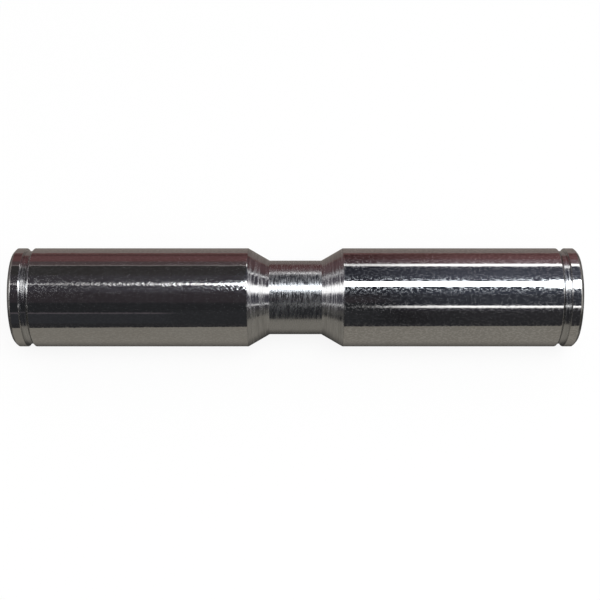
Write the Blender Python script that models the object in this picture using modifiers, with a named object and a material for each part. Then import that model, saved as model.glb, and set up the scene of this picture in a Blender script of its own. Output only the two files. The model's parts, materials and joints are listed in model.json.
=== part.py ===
"""In-tank carbon dioxide diffuser.

A waisted, turned body in screwed pieces lies along X, with the middle of its waist at the origin. A gas tube pushes
into the inlet cap at -X, a check valve behind it keeps the water out of the tube, and the gas leaves through a
porous ceramic disc in the outlet cap at +X.
"""

import math

import bmesh
import bpy
from mathutils import Matrix, Vector

# Outside of the body, in metres and radians
OVERALL_LENGTH = 0.0910
BARREL_DIAMETER = 0.0160
BARREL_WALL = 0.0015
NECK_DIAMETER = 0.0120
NECK_LENGTH = 0.0084
CONE_SLOPE = math.radians(30.0)
LIP_LENGTH = 0.0019
GROOVE_WIDTH = 0.0010
GROOVE_DEPTH = 0.00045
END_CHAMFER = 0.0003
EDGE_BREAK = 0.0001
BARREL_CHAMFER = 0.00035
SPANNER_HOLE_DIAMETER = 0.0015
SPANNER_HOLE_DEPTH = 0.0012

# Screwed spigots and their seals
COUPLING_SPIGOT_LENGTH = 0.0060
GAS_WAY_DIAMETER = 0.0040
LEAD_IN = 0.0003
SPIGOT_CLEARANCE = 0.00006
SEAL_SETBACK = 0.0009
SEAL_HEIGHT = 0.0007
SEAL_WIDTH = 0.00105
SEAL_CLEARANCE = 0.00006
SEAL_SIDE_ROOM = 0.00015
STACK_GAP = 0.00005

# Push-in port for the gas tube
TUBE_DIAMETER = 0.0060
TUBE_CLEARANCE = 0.00005
TUBE_STOP_DEPTH = 0.0030
COLLET_SETBACK = 0.0003
COLLET_WALL = 0.00055
COLLET_FLANGE_WIDTH = 0.0009
COLLET_FLANGE_THICKNESS = 0.0005
COLLET_BARB_HEIGHT = 0.0004
COLLET_BARB_LENGTH = 0.0012
COLLET_SLOT_WIDTH = 0.0006
COLLET_TRAVEL = 0.0008
COLLET_CLEARANCE = 0.0001
COLLAR_LENGTH = 0.0017
COLLAR_WALL = 0.00125
COLLAR_FLARE = 0.0005
FLARE_SLOPE = math.radians(40.0)
CHAMBER_CLEARANCE = 0.0002
WASHER_THICKNESS = 0.0006
TUBE_SEAL_WIDTH = 0.0011

# Check valve
PORT_DIAMETER = 0.0036
PORT_LENGTH = 0.0015
SEAT_WALL = 0.0016
SEAT_CLEARANCE = 0.00005
POPPET_SEAL_SECTION = 0.0009
POPPET_SEAL_REACH = 0.0003
POPPET_NOSE_LENGTH = 0.0006
POPPET_NOSE_RIM = 0.0002
POPPET_NOSE_LAND = 0.00015
POPPET_HEAD_RIM = 0.0003
POPPET_HEAD_THICKNESS = 0.0012
POPPET_HEAD_GAP = 0.0002
STEM_DIAMETER = 0.0020
STEM_REACH = 0.0012
STEM_CLEARANCE = 0.0001
SPRING_LENGTH = 0.0055
SPRING_WIRE = 0.0005
SPRING_DIAMETER = 0.0042
CAGE_ENGAGEMENT = 0.0030
CAGE_FIT = 0.00005
CAGE_HEAD_ROOM = 0.0005
CAGE_GAS_GAP = 0.0005
CAGE_END_WALL = 0.0015
WINDOW_DIAMETER = 0.0026
WINDOW_SETBACK = 0.0006

# Porous disc and its clamping
RIM_THICKNESS = 0.0012
RIM_WIDTH = 0.00065
RIM_COUNTERSINK = 0.0005
DISC_SEAT_WALL = 0.0005
DISC_THICKNESS = 0.0025
DISC_EDGE_CHAMFER = 0.0002
DISC_CLEARANCE = 0.00006
GASKET_THICKNESS = 0.0005
RETAINER_LENGTH = 0.0030
RETAINER_WALL = 0.0016
RETAINER_SLOT_WIDTH = 0.0012
RETAINER_SLOT_DEPTH = 0.0010
OUTLET_THREAD_SPARE = 0.0030

# Facets round a turned piece, and points along a coil and round a seal's section
OUTER_STEPS = 40
INNER_STEPS = 32
SMALL_STEPS = 24
SEAL_POINTS = 8
COIL_POINTS_PER_TURN = 14
SPRING_OPEN_TURNS = 4
SPRING_CLOSED_TURNS = 1
CLOSED_PITCH_IN_WIRES = 1.15
MERGE_DISTANCE = 1e-6
CUT_OVERRUN = 0.001
SHARP_ANGLE = math.radians(28.0)

# Finishes as colour, roughness and metallic value
POLISHED_STEEL = ((0.62, 0.61, 0.60, 1.0), 0.12, 1.0)
TURNED_STEEL = ((0.58, 0.57, 0.56, 1.0), 0.30, 1.0)
SPRING_STEEL = ((0.55, 0.55, 0.54, 1.0), 0.25, 1.0)
BRASS = ((0.72, 0.53, 0.25, 1.0), 0.28, 1.0)
ACETAL = ((0.06, 0.06, 0.065, 1.0), 0.45, 0.0)
SEAL_RUBBER = ((0.018, 0.018, 0.018, 1.0), 0.6, 0.0)
SILICONE = ((0.75, 0.75, 0.72, 1.0), 0.5, 0.0)
CERAMIC = ((0.82, 0.80, 0.75, 1.0), 0.9, 0.0)

# Radii of the body and its spigots
barrel_radius = BARREL_DIAMETER / 2
bore_radius = barrel_radius - BARREL_WALL
neck_radius = NECK_DIAMETER / 2
spigot_radius = bore_radius - SPIGOT_CLEARANCE
seal_floor_radius = bore_radius - SEAL_HEIGHT - 2 * SEAL_CLEARANCE
seal_groove_width = SEAL_WIDTH + 2 * SEAL_SIDE_ROOM
cone_end = NECK_LENGTH / 2 + (barrel_radius - neck_radius) / math.tan(CONE_SLOPE)

# Places along the axis from here on are measured inward from an end face
shoulder = LIP_LENGTH + GROOVE_WIDTH
barrel_end = OVERALL_LENGTH / 2 - cone_end

# Tube port, from the end face inward
tube_radius = TUBE_DIAMETER / 2
collet_bore = tube_radius + TUBE_CLEARANCE
collet_radius = collet_bore + COLLET_WALL
barb_radius = collet_radius + COLLET_BARB_HEIGHT
throat_radius = collet_radius + COLLET_CLEARANCE
chamber_radius = barb_radius + CHAMBER_CLEARANCE
collar_radius = throat_radius + COLLAR_WALL
flange_back = COLLET_SETBACK + COLLET_FLANGE_THICKNESS
collar_face = flange_back + COLLET_TRAVEL + COLLET_CLEARANCE
collar_back = collar_face + COLLAR_LENGTH
flare_start = collar_back - COLLAR_FLARE / math.tan(FLARE_SLOPE)
barb_start = flare_start + COLLET_CLEARANCE
barb_top = barb_start + COLLET_BARB_HEIGHT / math.tan(FLARE_SLOPE)
barb_end = barb_top + COLLET_BARB_LENGTH
collet_end = barb_end + COLLET_BARB_HEIGHT
washer_face = collet_end + COLLET_TRAVEL + COLLET_CLEARANCE
tube_seal_face = washer_face + WASHER_THICKNESS + STACK_GAP
chamber_end = tube_seal_face + TUBE_SEAL_WIDTH + STACK_GAP
tube_stop = chamber_end + TUBE_STOP_DEPTH

# Check valve, whose seat is a cone of 45 degrees that the poppet's seal rests on
port_radius = PORT_DIAMETER / 2
seat_start = tube_stop + PORT_LENGTH
poppet_seal_radius = port_radius + POPPET_SEAL_REACH
poppet_seal_rise = (POPPET_SEAL_SECTION / 2 + SEAT_CLEARANCE) * math.sqrt(2)
poppet_seal_place = seat_start + POPPET_SEAL_REACH + poppet_seal_rise
poppet_groove_radius = poppet_seal_radius - POPPET_SEAL_SECTION / 2 - STACK_GAP
poppet_groove_front = poppet_seal_place - POPPET_SEAL_SECTION / 2 - STACK_GAP
head_front = poppet_seal_place + POPPET_SEAL_SECTION / 2 + STACK_GAP
head_back = head_front + POPPET_HEAD_THICKNESS
nose_end = head_front - POPPET_HEAD_GAP
seat_radius = port_radius + nose_end - seat_start
nose_radius = seat_radius + SEAT_WALL
head_radius = seat_radius + POPPET_HEAD_RIM
stem_radius = STEM_DIAMETER / 2
inlet_spigot_end = nose_end - CAGE_ENGAGEMENT
cage_wall = head_back + SPRING_LENGTH + 2 * STACK_GAP
cage_end = cage_wall + CAGE_END_WALL
cage_radius = bore_radius - CAGE_GAS_GAP
cage_bore = head_radius + CAGE_HEAD_ROOM

# Porous disc, from the end face inward
disc_bore = seal_floor_radius - DISC_SEAT_WALL
disc_radius = disc_bore - DISC_CLEARANCE
aperture_radius = disc_bore - RIM_WIDTH
outer_gasket_face = RIM_THICKNESS + STACK_GAP
disc_face = outer_gasket_face + GASKET_THICKNESS + STACK_GAP
inner_gasket_face = disc_face + DISC_THICKNESS + STACK_GAP
retainer_face = inner_gasket_face + GASKET_THICKNESS + STACK_GAP
retainer_back = retainer_face + RETAINER_LENGTH
outlet_spigot_end = retainer_back + OUTLET_THREAD_SPARE


def clear_scene():
    """Remove every object, so that the model starts from nothing."""
    for obj in list(bpy.data.objects):
        bpy.data.objects.remove(obj, do_unlink=True)


def new_collection(name):
    """Return a new collection under the scene's own."""
    collection = bpy.data.collections.new(name)
    bpy.context.scene.collection.children.link(collection)
    return collection


def finish_material(name, finish):
    """Return a new material with a finish's colour, roughness and metallic value."""
    colour, roughness, metallic = finish
    material = bpy.data.materials.new(name)
    material.use_nodes = True
    shader = material.node_tree.nodes["Principled BSDF"]
    shader.inputs["Base Color"].default_value = colour
    shader.inputs["Roughness"].default_value = roughness
    shader.inputs["Metallic"].default_value = metallic
    material.diffuse_color = colour
    return material


class Bench:
    """The collections that the pieces and their cutters go in, and the axes that carry them."""

    def __init__(self):
        self.parts = new_collection("carbon_dioxide_diffuser")
        self.cutters = new_collection("cutters")
        self.waist = self.axis("waist_axis", 0.0, 1)
        self.inlet = self.axis("inlet_end_axis", -OVERALL_LENGTH / 2, 1)
        self.outlet = self.axis("outlet_end_axis", OVERALL_LENGTH / 2, -1)

    def axis(self, name, x, direction):
        """Return an empty on the body's axis whose own Z runs along X, or against it for a direction of -1."""
        empty = bpy.data.objects.new(name, None)
        empty.matrix_world = Matrix.Translation((x, 0, 0)) @ Matrix.Rotation(direction * math.pi / 2, 4, "Y")
        self.parts.objects.link(empty)
        return empty

    def add(self, name, data, home, finish):
        """Return a new piece on an axis, with a material of its own."""
        piece = bpy.data.objects.new(name, data)
        piece.parent = home
        data.materials.append(finish_material(name, finish))
        self.parts.objects.link(piece)
        return piece

    def turned(self, name, outline, steps, home, finish):
        """Return a piece turned from an outline of (place along the axis, radius) points.

        The outline runs along the outside from the low end to the high end and back along the bore. It closes on
        itself, unless it starts and ends on the axis. It starts half a facet from the vertical, so that the body
        lies on a flat and not on an edge.
        """
        outward = Matrix.Rotation(math.pi / OUTER_STEPS, 3, "Z") @ Vector((1, 0, 0))
        points = [outward * radius + Vector((0, 0, place)) for place, radius in reversed(outline)]
        edges = [(index, index + 1) for index in range(len(points) - 1)]
        if outline[0][1] > 0:
            edges.append((len(points) - 1, 0))
        profile = bpy.data.meshes.new(name)
        profile.from_pydata(points, edges, [])
        piece = self.add(name, profile, home, finish)
        screw = piece.modifiers.new("turning", "SCREW")
        screw.axis = "Z"
        screw.angle = 2 * math.pi
        screw.steps = steps
        screw.render_steps = steps
        screw.use_merge_vertices = True
        screw.merge_threshold = MERGE_DISTANCE
        screw.use_smooth_shade = True
        return piece

    def cut(self, piece, shape, place):
        """Take a cutter, given as a bmesh and its place on the piece's axis, out of a piece."""
        name = f"{piece.name}_cut_{len(piece.modifiers)}"
        mesh = bpy.data.meshes.new(name)
        shape.to_mesh(mesh)
        shape.free()
        cutter = bpy.data.objects.new(name, mesh)
        cutter.parent = piece.parent
        cutter.matrix_local = place
        cutter.hide_render = True
        cutter.display_type = "WIRE"
        self.cutters.objects.link(cutter)
        boolean = piece.modifiers.new(name, "BOOLEAN")
        boolean.operation = "DIFFERENCE"
        boolean.solver = "EXACT"
        boolean.object = cutter


def drill(diameter, length):
    """Return a round cutter that stands on its own Z."""
    shape = bmesh.new()
    bmesh.ops.create_cone(shape, cap_ends=True, segments=SMALL_STEPS, radius1=diameter / 2, radius2=diameter / 2,
                          depth=length)
    return shape


def slot_block(width, across, length):
    """Return a box-shaped cutter of a width, a reach across the axis and a length along it."""
    shape = bmesh.new()
    bmesh.ops.create_cube(shape, size=1.0, matrix=Matrix.Diagonal((width, across, length, 1.0)))
    return shape


def along(distance):
    """Return a place on a piece's axis."""
    return Matrix.Translation((0, 0, distance))


def plain_ring(face, back, inside, outside):
    """Return the outline of a ring with a flat face and back."""
    return [(face, outside), (back, outside), (back, inside), (face, inside)]


def oval_ring(middle, radius, width, height):
    """Return the outline of a seal whose section is an oval about its middle place and radius."""
    turns = [2 * math.pi * index / SEAL_POINTS for index in range(SEAL_POINTS)]
    return [(middle - width / 2 * math.cos(turn), radius + height / 2 * math.sin(turn)) for turn in turns]


def spigot(face, end, tip_radius):
    """Return the outside of a screwed spigot, from the shoulder that it starts at to its chamfered end.

    The seal's groove lies near the shoulder. The end runs down to the radius of what follows it.
    """
    groove = face + SEAL_SETBACK
    groove_back = groove + seal_groove_width
    return [
        (face, spigot_radius),
        (groove, spigot_radius),
        (groove, seal_floor_radius),
        (groove_back, seal_floor_radius),
        (groove_back, spigot_radius),
        (end - LEAD_IN, spigot_radius),
        (end, spigot_radius - LEAD_IN),
        (end, tip_radius),
    ]


def spigot_seal(bench, name, face, home):
    """Add the seal of a spigot, which sits in the middle of its groove."""
    middle = face + SEAL_SETBACK + seal_groove_width / 2
    radius = seal_floor_radius + SEAL_CLEARANCE + SEAL_HEIGHT / 2
    bench.turned(name, oval_ring(middle, radius, SEAL_WIDTH, SEAL_HEIGHT), INNER_STEPS, home, SEAL_RUBBER)


def cap_outside(end, tip_radius):
    """Return the outside of an end cap: chamfered lip, ring groove, shoulder and spigot."""
    groove_radius = barrel_radius - GROOVE_DEPTH
    return [
        (0.0, barrel_radius - END_CHAMFER),
        (END_CHAMFER, barrel_radius),
        (LIP_LENGTH - EDGE_BREAK, barrel_radius),
        (LIP_LENGTH, barrel_radius - EDGE_BREAK),
        (LIP_LENGTH, groove_radius),
        (shoulder, groove_radius),
    ] + spigot(shoulder, end, tip_radius)


def spanner_holes(bench, cap, inner_radius):
    """Drill two blind pin-spanner holes in a cap's end ring, half way between its hole and its chamfer."""
    circle = (inner_radius + barrel_radius - END_CHAMFER) / 2
    for side in (-1, 1):
        place = Matrix.Translation((0, side * circle, (SPANNER_HOLE_DEPTH - CUT_OVERRUN) / 2))
        bench.cut(cap, drill(SPANNER_HOLE_DIAMETER, SPANNER_HOLE_DEPTH + CUT_OVERRUN), place)


def build_barrels(bench):
    """Add the two polished tubes, each from its cap's shoulder to the waist."""
    outline = [
        (shoulder, barrel_radius - BARREL_CHAMFER),
        (shoulder + BARREL_CHAMFER, barrel_radius),
        (barrel_end, barrel_radius),
        (barrel_end, bore_radius + LEAD_IN),
        (barrel_end - LEAD_IN, bore_radius),
        (shoulder + LEAD_IN, bore_radius),
        (shoulder, bore_radius + LEAD_IN),
    ]
    bench.turned("inlet_barrel", outline, OUTER_STEPS, bench.inlet, POLISHED_STEEL)
    bench.turned("outlet_barrel", outline, OUTER_STEPS, bench.outlet, POLISHED_STEEL)


def build_waist(bench):
    """Add the turned coupling between the barrels and its two seals."""
    end = cone_end + COUPLING_SPIGOT_LENGTH
    way_radius = GAS_WAY_DIAMETER / 2
    half = [(NECK_LENGTH / 2, neck_radius), (cone_end, barrel_radius)]
    half += spigot(cone_end, end, way_radius + LEAD_IN)
    half += [(end - LEAD_IN, way_radius)]
    other_half = [(-place, radius) for place, radius in reversed(half)]
    bench.turned("waist_coupling", other_half + half, OUTER_STEPS, bench.waist, TURNED_STEEL)
    spigot_seal(bench, "coupling_o_ring_outlet", cone_end, bench.waist)
    spigot_seal(bench, "coupling_o_ring_inlet", -cone_end - 2 * SEAL_SETBACK - seal_groove_width, bench.waist)


def build_inlet_cap(bench):
    """Add the inlet cap, bored for the tube port, with the valve's seat on its nose, and its seal."""
    socket_radius = collet_bore + TUBE_CLEARANCE
    outline = cap_outside(inlet_spigot_end, nose_radius) + [
        (nose_end, nose_radius),
        (nose_end, seat_radius),
        (seat_start, port_radius),
        (tube_stop, port_radius),
        (tube_stop, socket_radius),
        (chamber_end, socket_radius),
        (chamber_end, chamber_radius),
        (collar_back, chamber_radius),
        (collar_back, collar_radius + COLLET_CLEARANCE),
        (0.0, collar_radius + COLLET_CLEARANCE),
    ]
    cap = bench.turned("inlet_cap", outline, OUTER_STEPS, bench.inlet, TURNED_STEEL)
    spanner_holes(bench, cap, collar_radius)
    spigot_seal(bench, "inlet_cap_o_ring", shoulder, bench.inlet)


def build_tube_port(bench):
    """Add what holds and seals the gas tube: collet, collar, washer and seal."""
    collet = bench.turned("tube_collet", [
        (COLLET_SETBACK, collet_radius + COLLET_FLANGE_WIDTH),
        (flange_back, collet_radius + COLLET_FLANGE_WIDTH),
        (flange_back, collet_radius),
        (barb_start, collet_radius),
        (barb_top, barb_radius),
        (barb_end, barb_radius),
        (collet_end, collet_radius),
        (collet_end, collet_bore),
        (COLLET_SETBACK, collet_bore),
    ], INNER_STEPS, bench.inlet, ACETAL)
    slot_length = collet_end - collar_face + CUT_OVERRUN
    slot_middle = along(collar_face + slot_length / 2)
    for quarter in (0, 1):
        place = slot_middle @ Matrix.Rotation(quarter * math.pi / 2 + math.pi / 4, 4, "Z")
        bench.cut(collet, slot_block(COLLET_SLOT_WIDTH, 4 * barb_radius, slot_length), place)

    bench.turned("collet_ring", [
        (collar_face, collar_radius),
        (collar_back - STACK_GAP, collar_radius),
        (collar_back - STACK_GAP, throat_radius + COLLAR_FLARE),
        (flare_start, throat_radius),
        (collar_face, throat_radius),
    ], INNER_STEPS, bench.inlet, BRASS)
    liner_radius = chamber_radius - COLLET_CLEARANCE
    washer = plain_ring(washer_face, washer_face + WASHER_THICKNESS, collet_bore, liner_radius)
    bench.turned("backup_washer", washer, INNER_STEPS, bench.inlet, ACETAL)
    seal_height = liner_radius - tube_radius
    seal = oval_ring(tube_seal_face + TUBE_SEAL_WIDTH / 2, tube_radius + seal_height / 2, TUBE_SEAL_WIDTH, seal_height)
    bench.turned("tube_o_ring", seal, INNER_STEPS, bench.inlet, SEAL_RUBBER)


def build_check_valve(bench):
    """Add the cage on the cap's nose, with the poppet, its seal and its spring inside."""
    cage_socket = nose_radius + CAGE_FIT
    cage = bench.turned("valve_cage", [
        (inlet_spigot_end + STACK_GAP, cage_radius),
        (cage_end - LEAD_IN, cage_radius),
        (cage_end, cage_radius - LEAD_IN),
        (cage_end, stem_radius + STEM_CLEARANCE),
        (cage_wall, stem_radius + STEM_CLEARANCE),
        (cage_wall, cage_bore),
        (nose_end + STACK_GAP, cage_bore),
        (nose_end + STACK_GAP, cage_socket),
        (inlet_spigot_end + STACK_GAP, cage_socket),
    ], INNER_STEPS, bench.inlet, ACETAL)
    window_place = along(cage_wall - WINDOW_SETBACK - WINDOW_DIAMETER / 2)
    for quarter in (0, 1):
        place = window_place @ Matrix.Rotation(quarter * math.pi / 2, 4, "Z") @ Matrix.Rotation(math.pi / 2, 4, "X")
        bench.cut(cage, drill(WINDOW_DIAMETER, 4 * cage_radius), place)

    nose_rim = poppet_groove_radius + POPPET_NOSE_RIM
    nose_tip = poppet_groove_front - POPPET_NOSE_LENGTH
    nose_land = poppet_groove_front - POPPET_NOSE_LAND
    bench.turned("valve_poppet", [
        (nose_tip, 0.0),
        (nose_tip, nose_rim - (nose_land - nose_tip)),
        (nose_land, nose_rim),
        (poppet_groove_front, nose_rim),
        (poppet_groove_front, poppet_groove_radius),
        (head_front, poppet_groove_radius),
        (head_front, head_radius),
        (head_back, head_radius),
        (head_back, stem_radius),
        (cage_end + STEM_REACH, stem_radius),
        (cage_end + STEM_REACH, 0.0),
    ], SMALL_STEPS, bench.inlet, BRASS)
    seal = oval_ring(poppet_seal_place, poppet_seal_radius, POPPET_SEAL_SECTION, POPPET_SEAL_SECTION)
    bench.turned("poppet_o_ring", seal, SMALL_STEPS, bench.inlet, SEAL_RUBBER)
    build_valve_spring(bench)


def build_valve_spring(bench):
    """Add the valve's spring, a wire coil with closed ends between the poppet's head and the cage's wall."""
    turns = SPRING_OPEN_TURNS + 2 * SPRING_CLOSED_TURNS
    closed_pitch = CLOSED_PITCH_IN_WIRES * SPRING_WIRE
    closed_rise = SPRING_CLOSED_TURNS * closed_pitch
    open_pitch = (SPRING_LENGTH - SPRING_WIRE - 2 * closed_rise) / SPRING_OPEN_TURNS
    start = head_back + STACK_GAP + SPRING_WIRE / 2
    count = turns * COIL_POINTS_PER_TURN + 1
    curve = bpy.data.curves.new("valve_spring", "CURVE")
    curve.dimensions = "3D"
    curve.bevel_depth = SPRING_WIRE / 2
    curve.bevel_resolution = 2
    curve.use_fill_caps = True
    spline = curve.splines.new("POLY")
    spline.points.add(count - 1)
    for index, point in enumerate(spline.points):
        turn = index / COIL_POINTS_PER_TURN
        open_turns = min(max(turn - SPRING_CLOSED_TURNS, 0), SPRING_OPEN_TURNS)
        rise = open_turns * open_pitch + (turn - open_turns) * closed_pitch
        angle = 2 * math.pi * turn
        reach = SPRING_DIAMETER / 2
        point.co = (reach * math.cos(angle), reach * math.sin(angle), start + rise, 1.0)
    bench.add("valve_spring", curve, bench.inlet, SPRING_STEEL)


def build_outlet_cap(bench):
    """Add the outlet cap, with a countersunk mouth in front of the disc's bore, and its seal."""
    outline = cap_outside(outlet_spigot_end, disc_bore) + [
        (RIM_THICKNESS, disc_bore),
        (RIM_THICKNESS, aperture_radius),
        (RIM_COUNTERSINK, aperture_radius),
        (0.0, aperture_radius + RIM_COUNTERSINK),
    ]
    cap = bench.turned("outlet_cap", outline, OUTER_STEPS, bench.outlet, TURNED_STEEL)
    spanner_holes(bench, cap, aperture_radius + RIM_COUNTERSINK)
    spigot_seal(bench, "outlet_cap_o_ring", shoulder, bench.outlet)


def build_disc(bench):
    """Add the porous disc between its gaskets, and the slotted ring that clamps them."""
    gasket_hole = aperture_radius
    outer_gasket = plain_ring(outer_gasket_face, outer_gasket_face + GASKET_THICKNESS, gasket_hole, disc_radius)
    bench.turned("disc_gasket_outer", outer_gasket, INNER_STEPS, bench.outlet, SILICONE)
    disc_back = disc_face + DISC_THICKNESS
    bench.turned("ceramic_disc", [
        (disc_face, 0.0),
        (disc_face, disc_radius - DISC_EDGE_CHAMFER),
        (disc_face + DISC_EDGE_CHAMFER, disc_radius),
        (disc_back - DISC_EDGE_CHAMFER, disc_radius),
        (disc_back, disc_radius - DISC_EDGE_CHAMFER),
        (disc_back, 0.0),
    ], INNER_STEPS, bench.outlet, CERAMIC)
    inner_gasket = plain_ring(inner_gasket_face, inner_gasket_face + GASKET_THICKNESS, gasket_hole, disc_radius)
    bench.turned("disc_gasket_inner", inner_gasket, INNER_STEPS, bench.outlet, SILICONE)
    ring = plain_ring(retainer_face, retainer_back, disc_radius - RETAINER_WALL, disc_radius)
    retainer = bench.turned("disc_retainer", ring, INNER_STEPS, bench.outlet, BRASS)
    slot_place = along(retainer_back + (CUT_OVERRUN - RETAINER_SLOT_DEPTH) / 2)
    slot = slot_block(RETAINER_SLOT_WIDTH, 4 * disc_radius, RETAINER_SLOT_DEPTH + CUT_OVERRUN)
    bench.cut(retainer, slot, slot_place)


def settle_modifiers(bench):
    """Turn each mesh piece's modifiers into plain mesh, shaded smooth up to its sharp edges."""
    bpy.context.view_layer.update()
    graph = bpy.context.evaluated_depsgraph_get()
    pieces = [piece for piece in bench.parts.objects if piece.type == "MESH"]
    meshes = [bpy.data.meshes.new_from_object(piece.evaluated_get(graph)) for piece in pieces]
    for piece, mesh in zip(pieces, meshes):
        piece.modifiers.clear()
        piece.data = mesh
        mesh.shade_smooth()
        mesh.set_sharp_from_angle(angle=SHARP_ANGLE)


def main():
    """Build the diffuser piece by piece."""
    clear_scene()
    bench = Bench()
    build_barrels(bench)
    build_waist(bench)
    build_inlet_cap(bench)
    build_tube_port(bench)
    build_check_valve(bench)
    build_outlet_cap(bench)
    build_disc(bench)
    settle_modifiers(bench)


main()
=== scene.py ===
"""Looks of the in-tank carbon dioxide diffuser: turned and polished steel, seals, check valve and porous disc.

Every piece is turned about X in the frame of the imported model, in metres, and rides on the body of the solid that it
stands for. The studio is a white floor under a tent of light and dark bands, which only the metal's shine sees.
"""

import json
import logging
import math
from collections.abc import Callable, Mapping, Sequence
from dataclasses import dataclass, field
from enum import Enum
from typing import Any

import bmesh
import bpy
from mathutils import Matrix, Vector, noise


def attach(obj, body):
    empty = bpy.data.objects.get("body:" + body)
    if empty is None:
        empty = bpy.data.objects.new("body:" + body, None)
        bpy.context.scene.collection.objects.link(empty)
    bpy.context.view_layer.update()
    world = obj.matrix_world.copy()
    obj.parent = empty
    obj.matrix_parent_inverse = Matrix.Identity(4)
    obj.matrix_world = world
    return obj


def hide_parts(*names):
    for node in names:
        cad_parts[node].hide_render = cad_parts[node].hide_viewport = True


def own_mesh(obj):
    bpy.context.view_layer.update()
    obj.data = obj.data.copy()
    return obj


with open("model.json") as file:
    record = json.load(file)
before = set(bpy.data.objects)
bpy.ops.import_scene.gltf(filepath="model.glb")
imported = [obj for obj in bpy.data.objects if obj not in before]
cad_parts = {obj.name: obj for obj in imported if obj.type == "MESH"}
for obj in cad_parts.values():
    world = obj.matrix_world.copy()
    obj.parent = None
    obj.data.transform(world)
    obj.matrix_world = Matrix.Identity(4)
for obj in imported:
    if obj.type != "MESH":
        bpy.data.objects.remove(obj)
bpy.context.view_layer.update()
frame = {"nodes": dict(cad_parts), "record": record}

LOG = logging.getLogger("diffuser")
MM = 0.001
MICRON = 0.001 * MM
ON_AXIS = 1e-7
SHARP_ANGLE = math.radians(32.0)
CUTTER_ANGLE = math.radians(30.0)
CUTTER_EXCESS = 1.0 * MM
POLISH_MARGIN = 0.05 * MM
HALF_TURN = 180.0
NOISE_MIDDLE = 0.5
MIX_FACTOR, MIX_LOW, MIX_HIGH, MIX_RESULT = 0, 6, 7, 2

Colour = tuple[float, float, float, float]
Levels = tuple[float, float]
Place = tuple[float, float, float]
Face = tuple[int, ...]


class Wire:
    """A shader socket that takes part in sums: each operation on it adds a Math node."""

    def __init__(self, graph: "Graph", socket: bpy.types.NodeSocket) -> None:
        """Hold a socket and the graph that it belongs to."""
        self.graph = graph
        self.socket = socket

    def _math(self, operation: str, *values: "Wire | float") -> "Wire":
        """Return the result of a new Math node on the given values."""
        return self.graph.node("ShaderNodeMath", {"operation": operation}, dict(enumerate(values)))[0]

    def __add__(self, other: "Wire | float") -> "Wire":
        """Return the sum."""
        return self._math("ADD", self, other)

    __radd__ = __add__

    def __sub__(self, other: "Wire | float") -> "Wire":
        """Return the difference."""
        return self._math("SUBTRACT", self, other)

    def __rsub__(self, other: float) -> "Wire":
        """Return a number less this wire."""
        return self._math("SUBTRACT", other, self)

    def __mul__(self, other: "Wire | float") -> "Wire":
        """Return the product."""
        return self._math("MULTIPLY", self, other)

    __rmul__ = __mul__

    def __truediv__(self, other: "Wire | float") -> "Wire":
        """Return the quotient."""
        return self._math("DIVIDE", self, other)

    def __rtruediv__(self, other: float) -> "Wire":
        """Return a number over this wire."""
        return self._math("DIVIDE", other, self)

    def __pow__(self, other: float) -> "Wire":
        """Return a power."""
        return self._math("POWER", self, other)

    def __neg__(self) -> "Wire":
        """Return the value with its sign changed."""
        return self._math("MULTIPLY", self, -1.0)

    def __abs__(self) -> "Wire":
        """Return the value without its sign."""
        return self._math("ABSOLUTE", self)

    def angle_from(self, other: "Wire") -> "Wire":
        """Return the angle of the point whose height is this wire and whose reach is the other."""
        return self._math("ARCTAN2", self, other)

    def clamped(self) -> "Wire":
        """Return the value held between 0 and 1."""
        return self._math("MINIMUM", self._math("MAXIMUM", self, 0.0), 1.0)

    def rising(self, low: "Wire | float", high: "Wire | float") -> "Wire":
        """Return a soft step that is 0 below low and 1 above high."""
        inputs = {"Value": self, "From Min": low, "From Max": high}
        return self.graph.node("ShaderNodeMapRange", {"interpolation_type": "SMOOTHSTEP"}, inputs)["Result"]


class Outputs:
    """The output sockets of a new node, as wires."""

    def __init__(self, graph: "Graph", made: bpy.types.Node) -> None:
        """Hold a node and the graph that it is in."""
        self.graph = graph
        self.made = made

    def __getitem__(self, key: str | int) -> Wire:
        """Return one output by its name or number."""
        return Wire(self.graph, self.made.outputs[key])


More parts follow.
